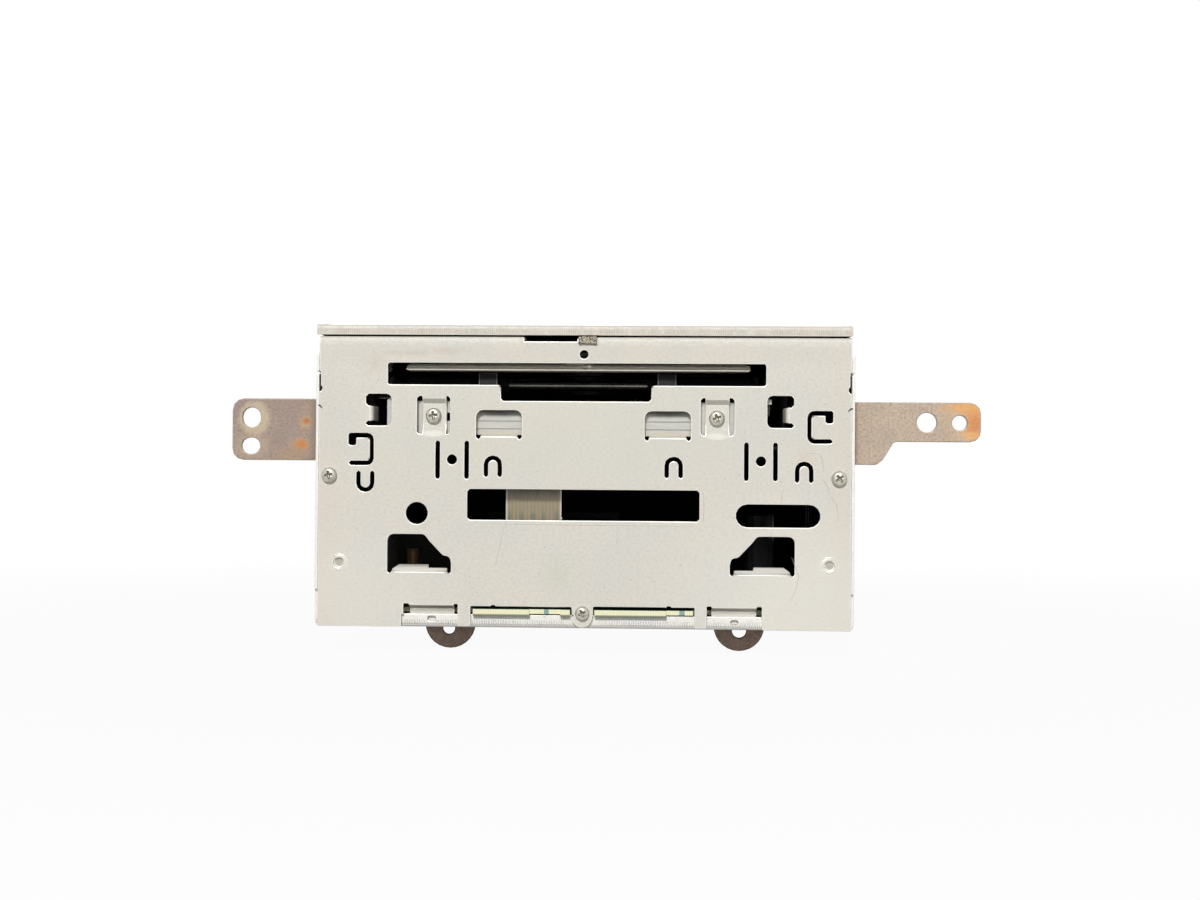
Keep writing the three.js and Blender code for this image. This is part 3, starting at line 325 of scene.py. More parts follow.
# Dust, stains and tints on the plate, as they lie on this one, and painted light and shade, each noted where it is
# listed
plateMarks = [
    markAt(-63, 91.0, 3.2, 0.7, "#C2B7A6", 0.4, 0.8, 2.4),
    markAt(-55.5, 91.0, 3.0, 0.8, "#C0B5A4", 0.45, 0.8, 2.4),
    markAt(-44.5, 91.6, 5.0, 1.1, "#C4B9A9", 0.45, 0.7, 2.4),
    markAt(0, 91, 92, 3.4, "#D3C9BA", 0.35, 0.8, 1.6),
    markAt(-85.5, 34, 5, 40, "#DCCFC0", 0.4, 0.9, 1.2),
    markAt(85, 40, 4, 45, "#DACDBE", 0.4, 0.9, 1.2),
    markAt(73, 56, 2.5, 3, "#D2BEA6", 0.35, 0.9, 1.8),
    markAt(-8, 18, 4, 5, "#C9CBB4", 0.35, 0.9, 1.8),
    markAt(-69.5, 87, 3, 3, "#C3BCAE", 0.35, 0.9, 2.4),
    # Painted shade on the hooks' inward slopes, which face downwards
    *(markAt(x, 7.6, 40, 2.0, "#454039", 0.95, 0.8, 0.2, 0.5) for x in (-51.5, 49.8)),
    # A darker band on the lower openings' tabs, further back
    *(markAt(x, z, 12, 0.9, "#968D80", 0.7, 0.4, 0.6, 2.4) for x, z in ((-55, 20.9), (59.3, 21.4))),
    # Painted highlight on the lower openings' tabs and on the screw tabs' lower slopes, which face upwards
    markAt(-55, 19.1, 9.2, 0.75, "#FFFCF4", 0.8, 0.4, 0.2),
    markAt(59.3, 19.6, 9.5, 0.75, "#FFFCF4", 0.8, 0.4, 0.2),
    *(markAt(x, z, 3.5, 1.0, "#FFFCF4", 0.8, 0.5, 0.2) for x, z in ((-49.8, 64.2), (44.2, 63.8))),
    # Painted light: the plate is lighter towards its lower corners
    markAt(75, 8, 34, 24, "#EDE9DD", 0.5, 0.9, 0.8),
    markAt(-76, 10, 24, 18, "#EBE5D9", 0.4, 0.9, 0.8),
    # A broad darker patch across the plate's middle
    markAt(0, 64, 62, 16, "#D5D2C4", 0.45, 0.9, 0.8),
    # Painted shade in the dimples of the two bosses
    *(markAt(x, z, 1.7, 1.7, "#8F897D", 0.55, 0.35, 0.4) for x, z in ((-80.95, 21.2), (81.35, 21.5))),
]
edgeLook = {
    "warm": "#F4F1EA", "cool": "#EBE9E1", "shade": "#D8D4CA", "dark": "#B4AC9C", "cloud": 9, "grain": 0.8,
    "grainStrength": 0.3, "metallic": 0.5, "roughness": (0.34, 0.46), "relief": 0.01, "speckStrength": 0.3,
}
bracketLook = {
    "warm": "#BCA997", "cool": "#B0A08F", "shade": "#948574", "dark": "#6B5D52", "cloud": 9, "grain": 0.8,
    "grainStrength": 0.55, "metallic": 0.35, "roughness": (0.5, 0.68), "relief": 0.03, "speckGap": 2.2,
    "stretch": (1, 1, 1),
}
leftBracketMarks = [
    markAt(-112.7, 69.4, 5.2, 5.6, "#C0AF93", 0.75, 0.25, 0.4),
    markAt(-113.4, 60.2, 5.6, 4.4, "#B59F87", 0.5, 0.4, 0.6),
    markAt(-94.9, 68.0, 2.2, 2.4, "#BB9A72", 0.7, 0.8, 1.6),
    markAt(-94.9, 68.5, 1.1, 0.9, "#B26632", 0.9, 0.7, 1.4),
    markAt(-96.6, 60.4, 3.0, 1.9, "#BC9162", 0.75, 0.8, 1.8),
    markAt(-96.4, 60.5, 1.8, 1.1, "#BE7636", 0.85, 0.8, 1.6),
    markAt(-99.0, 57.3, 6, 1.9, "#A5896A", 0.6, 0.8, 1.8),
    markAt(-94.0, 73.5, 1.6, 1.6, "#A88A78", 0.5, 0.8, 1.6),
    # Painted shade on the bracket beside the case's side wall
    markAt(-90.9, 65, 2.4, 30, "#7B7064", 0.65, 0.7, 0.3),
]
rightBracketMarks = [
    markAt(127.5, 71, 7.0, 7.5, "#CBAE8B", 0.6, 0.6, 1.8),
    markAt(130.6, 70.8, 3.6, 5.5, "#D0925A", 0.85, 0.7, 2.4),
    markAt(127.6, 74.6, 6.5, 1.9, "#D8A05E", 0.75, 0.7, 2.2),
    markAt(130.8, 68.4, 2.2, 3.0, "#C47A45", 0.6, 0.8, 2.4),
    markAt(130, 64.6, 3.2, 1.4, "#DDAA66", 0.7, 0.7, 1.8),
]
strapLook = {
    "warm": "#90796A", "cool": "#7E6A5D", "shade": "#615046", "dark": "#2C2420", "cloud": 6, "grain": 0.7,
    "grainStrength": 0.5, "metallic": 0.35, "roughness": (0.45, 0.6), "relief": 0.03, "speckGap": 2.4,
    "stretch": (1, 1, 1),
}
strapMarks = [markAt(x, -3.0, 5.4, 5.0, "#7A6A5E", 0.6, 0.7, 0.4) for x in (-46.3, 52.8)]
# Painted shadow of each small window's top edge on the frame's wall behind it, and a beige line lower down
frameMarks = [
    markAt(x, z, 8.6, high, colour, strength, 0.5, 0.2) for x in (-27.9, 28.05)
    for z, high, colour, strength in ((72.4, 2.1, "#37332C", 0.9), (64.2, 0.9, "#C6B9A0", 0.5))
]
innerLook = {
    "warm": "#C9C6BE", "cool": "#C3C4BF", "shade": "#AFAEA8", "dark": "#8B8780", "cloud": 22, "grain": 0.8,
    "grainStrength": 0.35, "metallic": 0.12, "roughness": (0.42, 0.55), "relief": 0.01,
}

platedSteel = rolledSteel("electrogalvanised_steel_sheet", {**plateLook, "marks": plateMarks})
# inside: the colour of the case's inner faces, painted dark as painted shade
lipLook = {**plateLook, "cloud": 14, "rubbed": rubbedLines, "inside": "#181715"}
rubbedSteel = rolledSteel("rubbed_tray_steel", {
    **lipLook, "warm": "#F8F5EE", "cool": "#F5F4F0", "shade": "#D2CEC2",
})
coverSteel = rolledSteel("rubbed_cover_steel", {**lipLook, "warm": "#DDD6C9", "cool": "#D9D5CA", "narrower": 0.7})
# Punching and folding burnish the zinc: edges catch the light as thin bright lines
burnishedEdge = rolledSteel("burnished_steel_edge", edgeLook)
leftBracketSteel = rolledSteel("bare_steel_left_bracket", {
    **bracketLook, "warm": "#A28F83", "cool": "#98877C", "shade": "#81736A", "ragged": 1.6,
    "marks": leftBracketMarks,
})
rightBracketSteel = rolledSteel("bare_steel_right_bracket", {
    **bracketLook, "ragged": 1.3, "marks": rightBracketMarks,
})
bracketEdge = rolledSteel("worn_bracket_edge", {**bracketLook, "warm": "#C9B9A8", "cool": "#BCAB9B"})
strapSteel = rolledSteel("oil_blackened_steel", {**strapLook, "marks": strapMarks})
strapEdge = rolledSteel("dark_strap_edge", {**strapLook, "warm": "#5C4E45", "cool": "#4A3F38"})
innerSteel = rolledSteel("zinc_plated_inner_steel", innerLook)
# The rear panel's and the frame's inside colours are painted shade on the case's inner faces
rearSteel = rolledSteel("rear_panel_steel", {**innerLook, "inside": "#151412"})
# Tinned steel inside the case, painted dark as painted shade, since little light reaches these parts
shadeDarkTin = rolledSteel("aged_tinned_steel", {
    **innerLook, "warm": "#5E5B55", "cool": "#55544F", "shade": "#43413D", "dark": "#2E2C29", "shine": 0.2,
})
frameSteel = rolledSteel("mechanism_frame_steel", {**innerLook, "inside": "#2E2C29", "marks": frameMarks})
oiledShaft = rolledSteel("oiled_steel_shaft", {
    "warm": "#6E6B65", "cool": "#5E5D5A", "shade": "#4A4A48", "dark": "#262624", "cloud": 7, "grain": 0.5,
    "grainStrength": 0.4, "metallic": 0.8, "roughness": (0.24, 0.4), "relief": 0.01, "stretch": (0.4, 6, 6),
})
sinkAluminium = rolledSteel("extruded_aluminium", {
    "warm": "#B4B4B2", "cool": "#A6A8AA", "shade": "#8F9193", "dark": "#6E7072", "cloud": 18, "grain": 0.7,
    "grainStrength": 0.4, "metallic": 0.9, "roughness": (0.4, 0.52), "relief": 0.02, "stretch": (1, 1, 8),
})
brightZinc = rolledSteel("bright_zinc_screw", {
    "warm": "#D6D1C2", "cool": "#B9B8AE", "shade": "#949083", "dark": "#6C685C", "cloud": 1.4, "grain": 0.5,
    "grainStrength": 0.6, "metallic": 0.75, "roughness": (0.24, 0.4), "relief": 0.02, "speckGap": 1.2,
    "speck": 0.16, "stretch": (1, 1, 1), "hollow": "#7F7A6C",
})
polishedSteel = rolledSteel("ground_steel_shaft", {
    "warm": "#D2D1CE", "cool": "#C8CACC", "shade": "#B2B4B6", "dark": "#86888A", "cloud": 7, "grain": 0.5,
    "grainStrength": 0.3, "metallic": 1.0, "roughness": (0.18, 0.3), "relief": 0.005, "stretch": (0.4, 6, 6),
})
motorCan = rolledSteel("drawn_motor_can", {
    "warm": "#C2C0BA", "cool": "#B6B7B4", "shade": "#A09F9A", "dark": "#7C7A74", "cloud": 8, "grain": 0.6,
    "grainStrength": 0.35, "metallic": 0.85, "roughness": (0.3, 0.42), "relief": 0.01, "stretch": (1, 1, 6),
})
blackPlastic = mouldedPlastic("black_nylon", {
    "colour": "#19191B", "dust": "#2E2D2B", "grain": 0.5, "roughness": (0.42, 0.58), "relief": 0.02, "shine": 0.3,
})
greyPlastic = mouldedPlastic("dark_grey_acetal", {
    "colour": "#272727", "dust": "#3A3937", "grain": 0.35, "roughness": (0.45, 0.6), "relief": 0.03, "shine": 0.12,
})
# The levers' rounded edges: worn lighter, and partly a painted highlight
wornHighlightedPlastic = mouldedPlastic("worn_acetal_edge", {
    "colour": "#6E6D6A", "dust": "#8A8885", "grain": 0.35, "roughness": (0.4, 0.55), "relief": 0.02, "shine": 0.3,
})
whitePlastic = mouldedPlastic("natural_acetal", {
    "colour": "#F0E9DC", "dust": "#DCD4C5", "grain": 0.6, "roughness": (0.36, 0.5), "relief": 0.015,
    # Painted shade over the spot where light through the plate's small hole falls on the guide
    "marks": [markAt(0.5, 86.8, 1.1, 1.0, "#5E5A52", 0.9, 0.3, 0.2)],
})
rubber = mouldedPlastic("moulded_rubber", {
    "colour": "#121212", "dust": "#201F1E", "grain": 0.4, "roughness": (0.7, 0.85), "relief": 0.03, "shine": 0.1,
})
brownSleeve = mouldedPlastic("brown_shrink_sleeve", {
    "colour": "#8A6646", "dust": "#A98A66", "grain": 0.8, "roughness": (0.3, 0.42), "relief": 0.01, "shine": 0.3,
})
darkSleeve = mouldedPlastic("dark_grey_shrink_sleeve", {
    "colour": "#3A3A3C", "dust": "#66666A", "grain": 0.8, "roughness": (0.28, 0.4), "relief": 0.01, "shine": 0.2,
})
lensGlass = mouldedPlastic("coated_lens", {
    "colour": "#3F5D8C", "dust": "#6C86B4", "grain": 1.5, "cloud": 2, "roughness": (0.05, 0.1), "relief": 0.002,
    "coat": 0.6,
})


@finishOf
def glassFibreBoard(add, place, look):
    # Glass-fibre board: lacquered faces in one colour, pale cut edges with the fibre layers showing
    parts = add("SeparateXYZ", (place,)).outputs
    facing = add("SeparateXYZ", (add("NewGeometry").outputs["Normal"],)).outputs[2]
    flatness = add("Math", (facing,), operation="ABSOLUTE")
    tracks = softLumps(add, place, 3.0, 2.0, (4, 1, 1))
    face = layered(add, look["face"], [(add("MapRange", (tracks, 0.5, 0.56)), look["track"])])
    # Milling leaves upright ridges along the edge. Near its lower side the edge is painted dark as painted shadow
    # under the tongue
    scale = bandScale(look["ridgeGap"])
    ridges = add("TexWave", {"Vector": place, "Scale": scale, "Distortion": 0.6, "Detail": 1.0}).outputs[1]
    layers = [(add("Math", (ridges, 0.45), operation="MULTIPLY"), look["ridge"]),
              (add("MapRange", (parts[2], *look["dull"], 0.9, 0.0)), look["shade"])]
    for low, high in look["stripes"]:
        stripe = add("Math", (parts[0], (low + high) / 2, (high - low) / 2), operation="COMPARE")
        layers.append((add("Math", (stripe, 0.85), operation="MULTIPLY"), look["stripe"]))
    layers.append((add("MapRange", (flatness, 0.5, 0.6)), face))
    roughness = add("MapRange", (tracks, 0.4, 0.6, 0.35, 0.5))
    return layered(add, look["edge"], layers), roughness, ridges


# dull: the heights below which the board's edge is painted dark as painted shadow
boardLook = {"ridgeGap": 0.8, "dull": (4.4, 4.8), "stripe": "#5E9A96"}
mainBoard = glassFibreBoard("pale_glass_fibre_board", {
    **boardLook, "face": "#1F4438", "track": "#2E5C4A", "edge": "#F8F4D2", "ridge": "#E4E0B4", "shade": "#5F6B56",
    "stripes": [(-12.5, -10.9), (32.2, 34.0)], "relief": 0.03,
})
greenBoard = glassFibreBoard("green_lacquered_board", {
    **boardLook, "face": "#3E5E3C", "track": "#4C7049", "edge": "#B9B98C", "ridge": "#8D8E66", "shade": "#7F8460",
    "stripes": [], "relief": 0.02,
})


@finishOf
def woundCopper(add, place, look):
    # Enamelled copper wire wound round a core: even turns under clear amber enamel
    scale = bandScale(look["turnGap"])
    turns = add("TexWave", {"Vector": place, "Scale": scale, "Distortion": 1.0}, bands_direction="Z").outputs[1]
    roughness = add("MapRange", (turns, 0.0, 1.0, 0.45, 0.25))
    return layered(add, look["groove"], [(turns, look["wire"])]), roughness, turns


enamelledCopper = woundCopper("enamelled_copper_wire", {
    "groove": "#5E2E14", "wire": "#B4652E", "turnGap": 0.6, "metallic": 0.7, "relief": 0.1, "coat": 0.4,
})


@finishOf
def flatCable(add, place, look):
    # Polyester film over tinned copper strips: pale strips seen through a greyed film, and painted shade
    # towards its top, where the cable turns away under the mechanism
    height = add("SeparateXYZ", (place,)).outputs[2]
    strips = add("TexWave", {"Vector": place, "Scale": bandScale(look["pitch"]), "Distortion": 0.0}).outputs[1]
    wear = softLumps(add, place, 2.5, 4.0, (0.3, 1, 3))
    layers = [
        (add("MapRange", (strips, 0.2, 0.8, 0.0, 1.0)), look["strip"]),
        (add("MapRange", (wear, 0.45, 0.7, 0.0, 0.5)), look["worn"]),
        # Painted shade towards the cable's top
        (add("MapRange", (height, *look["turnsAway"], 0.0, 0.75)), look["dark"]),
        *((blotch(add, place, wear, mark), mark.colour) for mark in look["marks"]),
    ]
    roughness = add("MapRange", (wear, 0.3, 0.7, 0.35, 0.5))
    return layered(add, look["film"], layers), roughness, strips


# Small prints on the cable's lower end, and its pale rims
cablePrints = [markAt(x, 36.4, wide, 2.0, "#5B6459", 0.6, 0.6, 0.6)
               for x, wide in ((-24.6, 0.6), (-20.7, 0.7), (-16.8, 0.9), (-13.4, 0.5), (-8.8, 0.7))]
cableRims = [markAt(x, 40, 0.32, 30, "#C9C2B2", 0.8, 0.5, 0.1) for x in (-25.7, -7.5)]
ribbonFilm = flatCable("polyester_flat_cable", {
    "film": "#84795F", "strip": "#93866A", "worn": "#857C6B", "dark": "#4A463C", "turnsAway": (42.0, 45.5),
    "pitch": 1.25, "metallic": 0.2, "relief": 0.008, "coat": 0.3, "marks": cablePrints + cableRims,
})


@finishOf
def wovenShield(add, place, look):
    # Metallised cloth over foam: threads crossing both ways, worn through to brown in places
    weave = add("TexChecker", (place, linear(look["raised"]), linear(look["sunken"]), 1 / look["thread"]))
    holes = softLumps(add, place, 0.9, 3.0)
    worn = add("MapRange", (holes, 0.5, 0.58, 0.0, 0.9))
    roughness = add("MapRange", (holes, 0.3, 0.7, 0.5, 0.8))
    return layered(add, weave, [(worn, look["foam"])]), roughness, holes


wovenPad = wovenShield("metallised_cloth", {
    "raised": "#C2BBAA", "sunken": "#827A69", "foam": "#4B4236", "thread": 0.45, "metallic": 0.3, "relief": 0.15,
})

cadFinishes = {
    innerSteel: ["mode_slider", "deck_plate"],
    frameSteel: ["mechanism_frame"],
    shadeDarkTin: ["tuner_can", "shield_wall", "amplifier_clip", "mechanism_lid", "roller_arm", "clamp_arm"],
    brightZinc: ["aerial_socket"],
    polishedSteel: ["guide_rod"],
    oiledShaft: ["feed_shaft", "lead_screw"],
    motorCan: ["loading_motor", "spindle_motor", "sled_motor"],
    blackPlastic: ["power_amplifier", "clamper", "turntable", "pickup_sled"],
    whitePlastic: ["ribbon_socket", "drive_gear", "loading_pinion", "sled_pinion"],
    rubber: ["left_feed_sleeve", "right_feed_sleeve", "front_left_damper", "front_right_damper",
             "rear_left_damper", "rear_right_damper"],
    brownSleeve: ["filter_capacitor"],
    darkSleeve: ["reservoir_capacitor"],
    enamelledCopper: ["choke_coil"],
    lensGlass: ["pickup_lens"],
    greenBoard: ["mechanism_board"],
}
for finish, names in cadFinishes.items():
    for name in names:
        for slot in nodes[name].material_slots:
            slot.material = finish
left = sorted(set(nodes) - {name for names in cadFinishes.values() for name in names})
print("finishes on the nodes, apart from those that the pieces below stand for:", left)


# Shapes
def addPiece(name, mesh, finishes, body, standsFor, sharpFrom):
    mesh.polygons.foreach_set("use_smooth", [True] * len(mesh.polygons))
    mesh.set_sharp_from_angle(angle=radians(sharpFrom))
    for finish in finishes:
        mesh.materials.append(finish)
    piece = bpy.data.objects.new(name, mesh)
    bpy.context.scene.collection.objects.link(piece)
    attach(piece, body)
    if standsFor:
        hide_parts(*standsFor)
        for node in standsFor:
            nodes[node].hide_render = True
    return piece


def joinedFaces(edgeOfFace, edgeCount, flat):
    # Faces that meet over the edges in `flat` get the same number
    label = np.arange(len(edgeOfFace))
    while True:
        lowest = np.full(edgeCount, len(label))
        np.minimum.at(lowest, edgeOfFace.ravel(), np.repeat(label, 3))
        lowest[~flat] = len(label)
        new = np.minimum(label, lowest[edgeOfFace].min(1))
        new = np.minimum(new, new[new])
        if (new == label).all():
            return label
        label = new


def enclosed(spots, lines):
    # Which spots a level ray leaves across an odd number of the lines (from x, y to x, y)
    start, end = lines[:, 0], lines[:, 1]
    x, y = spots[:, None, 0], spots[:, None, 1]
    crossing = (start[:, 1] > y) != (end[:, 1] > y)
    rise = np.where(start[:, 1] == end[:, 1], 1, end[:, 1] - start[:, 1])
    return (crossing & (x < start[:, 0] + (end[:, 0] - start[:, 0]) / rise * (y - start[:, 1]))).sum(1) % 2 == 1


# In steps: the gap between a grid's rows, how clear of edges it stays, the longest edge left whole, and
# the area from which a region gets a grid. Faces within flatTurn degrees of each other are one flat area
dividing = {"rows": 0.87, "margin": 0.45, "longEdge": 1.4, "leastArea": 4, "flatTurn": 0.4}


def pointsWithin(lines, step):
    # A staggered grid of points in the region that the lines enclose, clear of its edges
    low, high = lines.reshape(-1, 2).min(0), lines.reshape(-1, 2).max(0)
    x, y = np.meshgrid(np.arange(low[0], high[0], step), np.arange(low[1], high[1], step * dividing["rows"]))
    x = x + step / 2 * (np.arange(len(x)) % 2)[:, None]
    spots = np.stack([x.ravel(), y.ravel()], -1)
    start, along = lines[:, 0], lines[:, 1] - lines[:, 0]
    share = ((spots[:, None] - start) * along).sum(-1) / (along ** 2).sum(-1)
    near = np.linalg.norm(start + share.clip(0, 1)[..., None] * along - spots[:, None], axis=-1).min(1)
    return spots[enclosed(spots, lines) & (near > dividing["margin"] * step)]


def evenlyDivided(corners, faces, step):
    # The same flat-sided shell with its flat areas divided anew: long edges are cut into lengths of about
    # `step`, and a grid of points as far apart keeps the triangles from being long and thin
    a, b, c = corners[faces.T]
    normals = np.cross(b - a, c - a)
    areas = np.linalg.norm(normals, axis=1) / 2
    normals /= np.maximum(2 * areas, 1e-12)[:, None]
    pairs = np.stack([faces, np.roll(faces, -1, axis=1)], -1).reshape(-1, 2)
    edges, edgeOf = np.unique(np.sort(pairs, axis=1), axis=0, return_inverse=True)
    edgeOf = edgeOf.ravel()
    total = np.zeros((len(edges), 3))
    np.add.at(total, edgeOf, np.repeat(normals, 3, axis=0))
    count = np.bincount(edgeOf)
    # Two unit normals at an angle A add up to a vector 2 cos(A / 2) long
    turn = 2 * np.degrees(np.arccos((np.linalg.norm(total, axis=1) / 2).clip(0, 1)))
    flat = (count == 2) & (turn < dividing["flatTurn"])
    label = joinedFaces(edgeOf.reshape(-1, 3), len(edges), flat)
    lengths = np.linalg.norm(corners[edges[:, 1]] - corners[edges[:, 0]], axis=1)
    cuts = np.where(~flat & (lengths > dividing["longEdge"] * step), np.ceil(lengths / step), 1).astype(int)
    added, chains, made = [corners], {}, len(corners)
    for edge in np.flatnonzero(cuts > 1):
        share = (np.arange(1, cuts[edge]) / cuts[edge])[:, None]
        added.append(corners[edges[edge, 0]] * (1 - share) + corners[edges[edge, 1]] * share)
        chains[edge] = np.arange(made, made + cuts[edge] - 1)
        made += cuts[edge] - 1
    corners = np.concatenate(added)
    extra, result = [], []
    order = np.argsort(label, kind="stable")
    for group in np.split(order, np.flatnonzero(np.diff(label[order])) + 1):
        ways = pairs.reshape(-1, 3, 2)[group].reshape(-1, 2)
        own = edgeOf.reshape(-1, 3)[group].ravel()
        rim = np.bincount(own)[own] == 1
        if len(group) < 3 and not any(edge in chains for edge in own[rim]):
            result.append(faces[group])
            continue
        rounds = []
        for (first, last), edge in zip(ways[rim], own[rim]):
            between = chains.get(edge, np.empty(0, int))
            rounds.append(np.r_[first, between if first < last else between[::-1], last])
        line = np.concatenate([np.stack([part[:-1], part[1:]], -1) for part in rounds])
        used, local = np.unique(line, return_inverse=True)
        local = local.reshape(-1, 2)
        out = Vector((normals[group] * areas[group, None]).sum(0)).normalized()
        side = out.orthogonal().normalized()
        basis = np.array([side, out.cross(side)]).T
        places = corners[used] @ basis
        wide = areas[group].sum() > dividing["leastArea"] * step
        inner = pointsWithin(places[local], step) if wide else np.empty((0, 2))
        height = (corners[used] @ np.array(out)).mean()
        found = delaunay_2d_cdt(
            [Vector(spot) for spot in np.concatenate([places, inner]).tolist()], local.tolist(), [], 1, 1e-6)
        spots = np.array([tuple(spot) for spot in found[0]])
        triangles = np.array(found[2]).reshape(-1, 3)
        triangles = triangles[enclosed(spots[triangles].mean(1), places[local])]
        lifted = spots @ basis.T + height * np.array(out)
        names = np.array([ids[0] if ids else -1 for ids in found[3]])
        known = (names >= 0) & (names < len(used))
        index = np.where(known, used[np.where(known, names, 0)], made + np.cumsum(~known) - 1)
        extra.append(lifted[~known])
        made += int((~known).sum())
        result.append(index[triangles])
    return np.concatenate([corners, *extra]), np.concatenate(result)


plateSides = {"from": 87.9, "wider": 0.18}
boardTongues = {"from": -1.7, "shorter": 2.1}


def closedGap(places):
    # The plate's sides come up to the tray's walls, as the real one's do
    side = places[:, 0] - trayMiddle
    wider = np.where(abs(side) > plateSides["from"], plateSides["wider"] * np.sign(side), 0)
    return places + wider[:, None] * (1, 0, 0)


def snappedShort(places):
    # The board's tongues are snapped off just in front of the plate
    shorter = np.where(places[:, 1] < boardTongues["from"], boardTongues["shorter"], 0)
    return places + shorter[:, None] * (0, 1, 0)


def roundedCopy(node, look):
    # The node's own corners, merged, its flat faces divided anew, and its edges rounded by a bevel
    source = nodes[node].data
    corners = np.array([vertex.co for vertex in source.vertices], float)
    loops = np.array([loop.vertex_index for loop in source.loops])
    _, first, again = np.unique(np.round(corners * 1e6), axis=0, return_index=True, return_inverse=True)
    places = look["fit"]((corners[first] - frontEdge) / millimetre)
    corners, faces = evenlyDivided(places, again.ravel()[loops].reshape(-1, 3), look["step"])
    mesh = bpy.data.meshes.new(look["name"])
    mesh.from_pydata(inFrame(corners), [], faces)
    mesh.validate()
    piece = addPiece(look["name"], mesh, look["finishes"], look["body"], [node], look["sharpFrom"])
    bevel = piece.modifiers.new("rounding", "BEVEL")
    bevel.width = look["width"] * millimetre
    bevel.segments = look["segments"]
    bevel.limit_method = "ANGLE"
    bevel.angle_limit = radians(look["roundedFrom"])
    bevel.use_clamp_overlap = False
    bevel.harden_normals = not look["even"]
    bevel.material = 1 if len(look["finishes"]) > 1 else -1
    if look["even"]:
        # Large faces keep their own shading, and only the narrow ones between them bend
        shading = piece.modifiers.new("even_shading", "WEIGHTED_NORMAL")
        shading.keep_sharp = True


# Rounding widths are in millimetres and angles in degrees. The last of two finishes is the rounded edge's
shellLook = {"step": 4.0, "body": "chassis", "fit": np.copy, "even": False, "segments": 2, "sharpFrom": 30,
             "roundedFrom": 50}
roundedShells = {
    "front_plate": {"name": "pierced_front", "finishes": (platedSteel, burnishedEdge), "width": 0.28, "step": 2.0,
                    "fit": closedGap},
    "main_board": {"name": "milled_board", "finishes": (mainBoard,), "width": 0.12, "fit": snappedShort},
    "chassis_tray": {"name": "folded_tray", "finishes": (rubbedSteel, burnishedEdge), "width": 0.22},
    "top_cover": {"name": "folded_cover", "finishes": (coverSteel, burnishedEdge), "width": 0.22, "even": True},
    **{side + "_bracket": {"name": side + "_bracket_strap", "finishes": (steel, bracketEdge), "width": 0.3,
                           "even": True}
       for side, steel in (("left", leftBracketSteel), ("right", rightBracketSteel))},
    **{side + "_bottom_strap": {"name": side + "_foot_strap", "finishes": (strapSteel, strapEdge), "width": 0.35}
       for side in ("left", "right")},
    "rear_panel": {"name": "pierced_rear", "finishes": (rearSteel, burnishedEdge), "width": 0.2},
    "heat_sink": {"name": "finned_sink", "finishes": (sinkAluminium,), "width": 0.3},
    **{side + "_disc_lever": {"name": side + "_lever_tab", "finishes": (greyPlastic, wornHighlightedPlastic), "width": 0.3,
                              "body": side + "_lever"} for side in ("left", "right")},
    "harness_socket": {"name": "moulded_harness_socket", "finishes": (blackPlastic,), "width": 0.25},
}
for node, look in roundedShells.items():
    roundedCopy(node, {**shellLook, **look})
print("rounded shells made")


def gridPiece(name, sheets, finish, standsFor=(), sharpFrom=45, sunk=None):
    # Each sheet is points[row, column], closed round its columns; rows that shrink to a point close its ends
    points, quads, start = [], [], 0
    for sheet in sheets:
        rows, columns = sheet.shape[:2]
        index = start + np.arange(rows * columns).reshape(rows, columns)
        beside = np.roll(index, -1, axis=1)
        quads.append(np.stack([index[:-1], beside[:-1], beside[1:], index[1:]], -1).reshape(-1, 4))
        points.append(sheet.reshape(-1, 3))
        start += rows * columns
    mesh = bpy.data.meshes.new(name)
    mesh.from_pydata(inFrame(np.concatenate(points)), [], np.concatenate(quads))
    if sunk is not None:
        share = mesh.attributes.new("sunk", "FLOAT", "POINT")
        share.data.foreach_set("value", np.concatenate([part.ravel() for part in sunk]))
    shell = bmesh.new()
    shell.from_mesh(mesh)
    bmesh.ops.remove_doubles(shell, verts=shell.verts, dist=2e-7)
    bmesh.ops.dissolve_degenerate(shell, dist=1e-8, edges=shell.edges)
    bmesh.ops.recalc_face_normals(shell, faces=shell.faces)
    shell.to_mesh(mesh)
    shell.free()
    addPiece(name, mesh, [finish], "chassis", standsFor, sharpFrom)


def smoothStep(value):
    value = np.clip(value, 0, 1)
    return value * value * (3 - 2 * value)


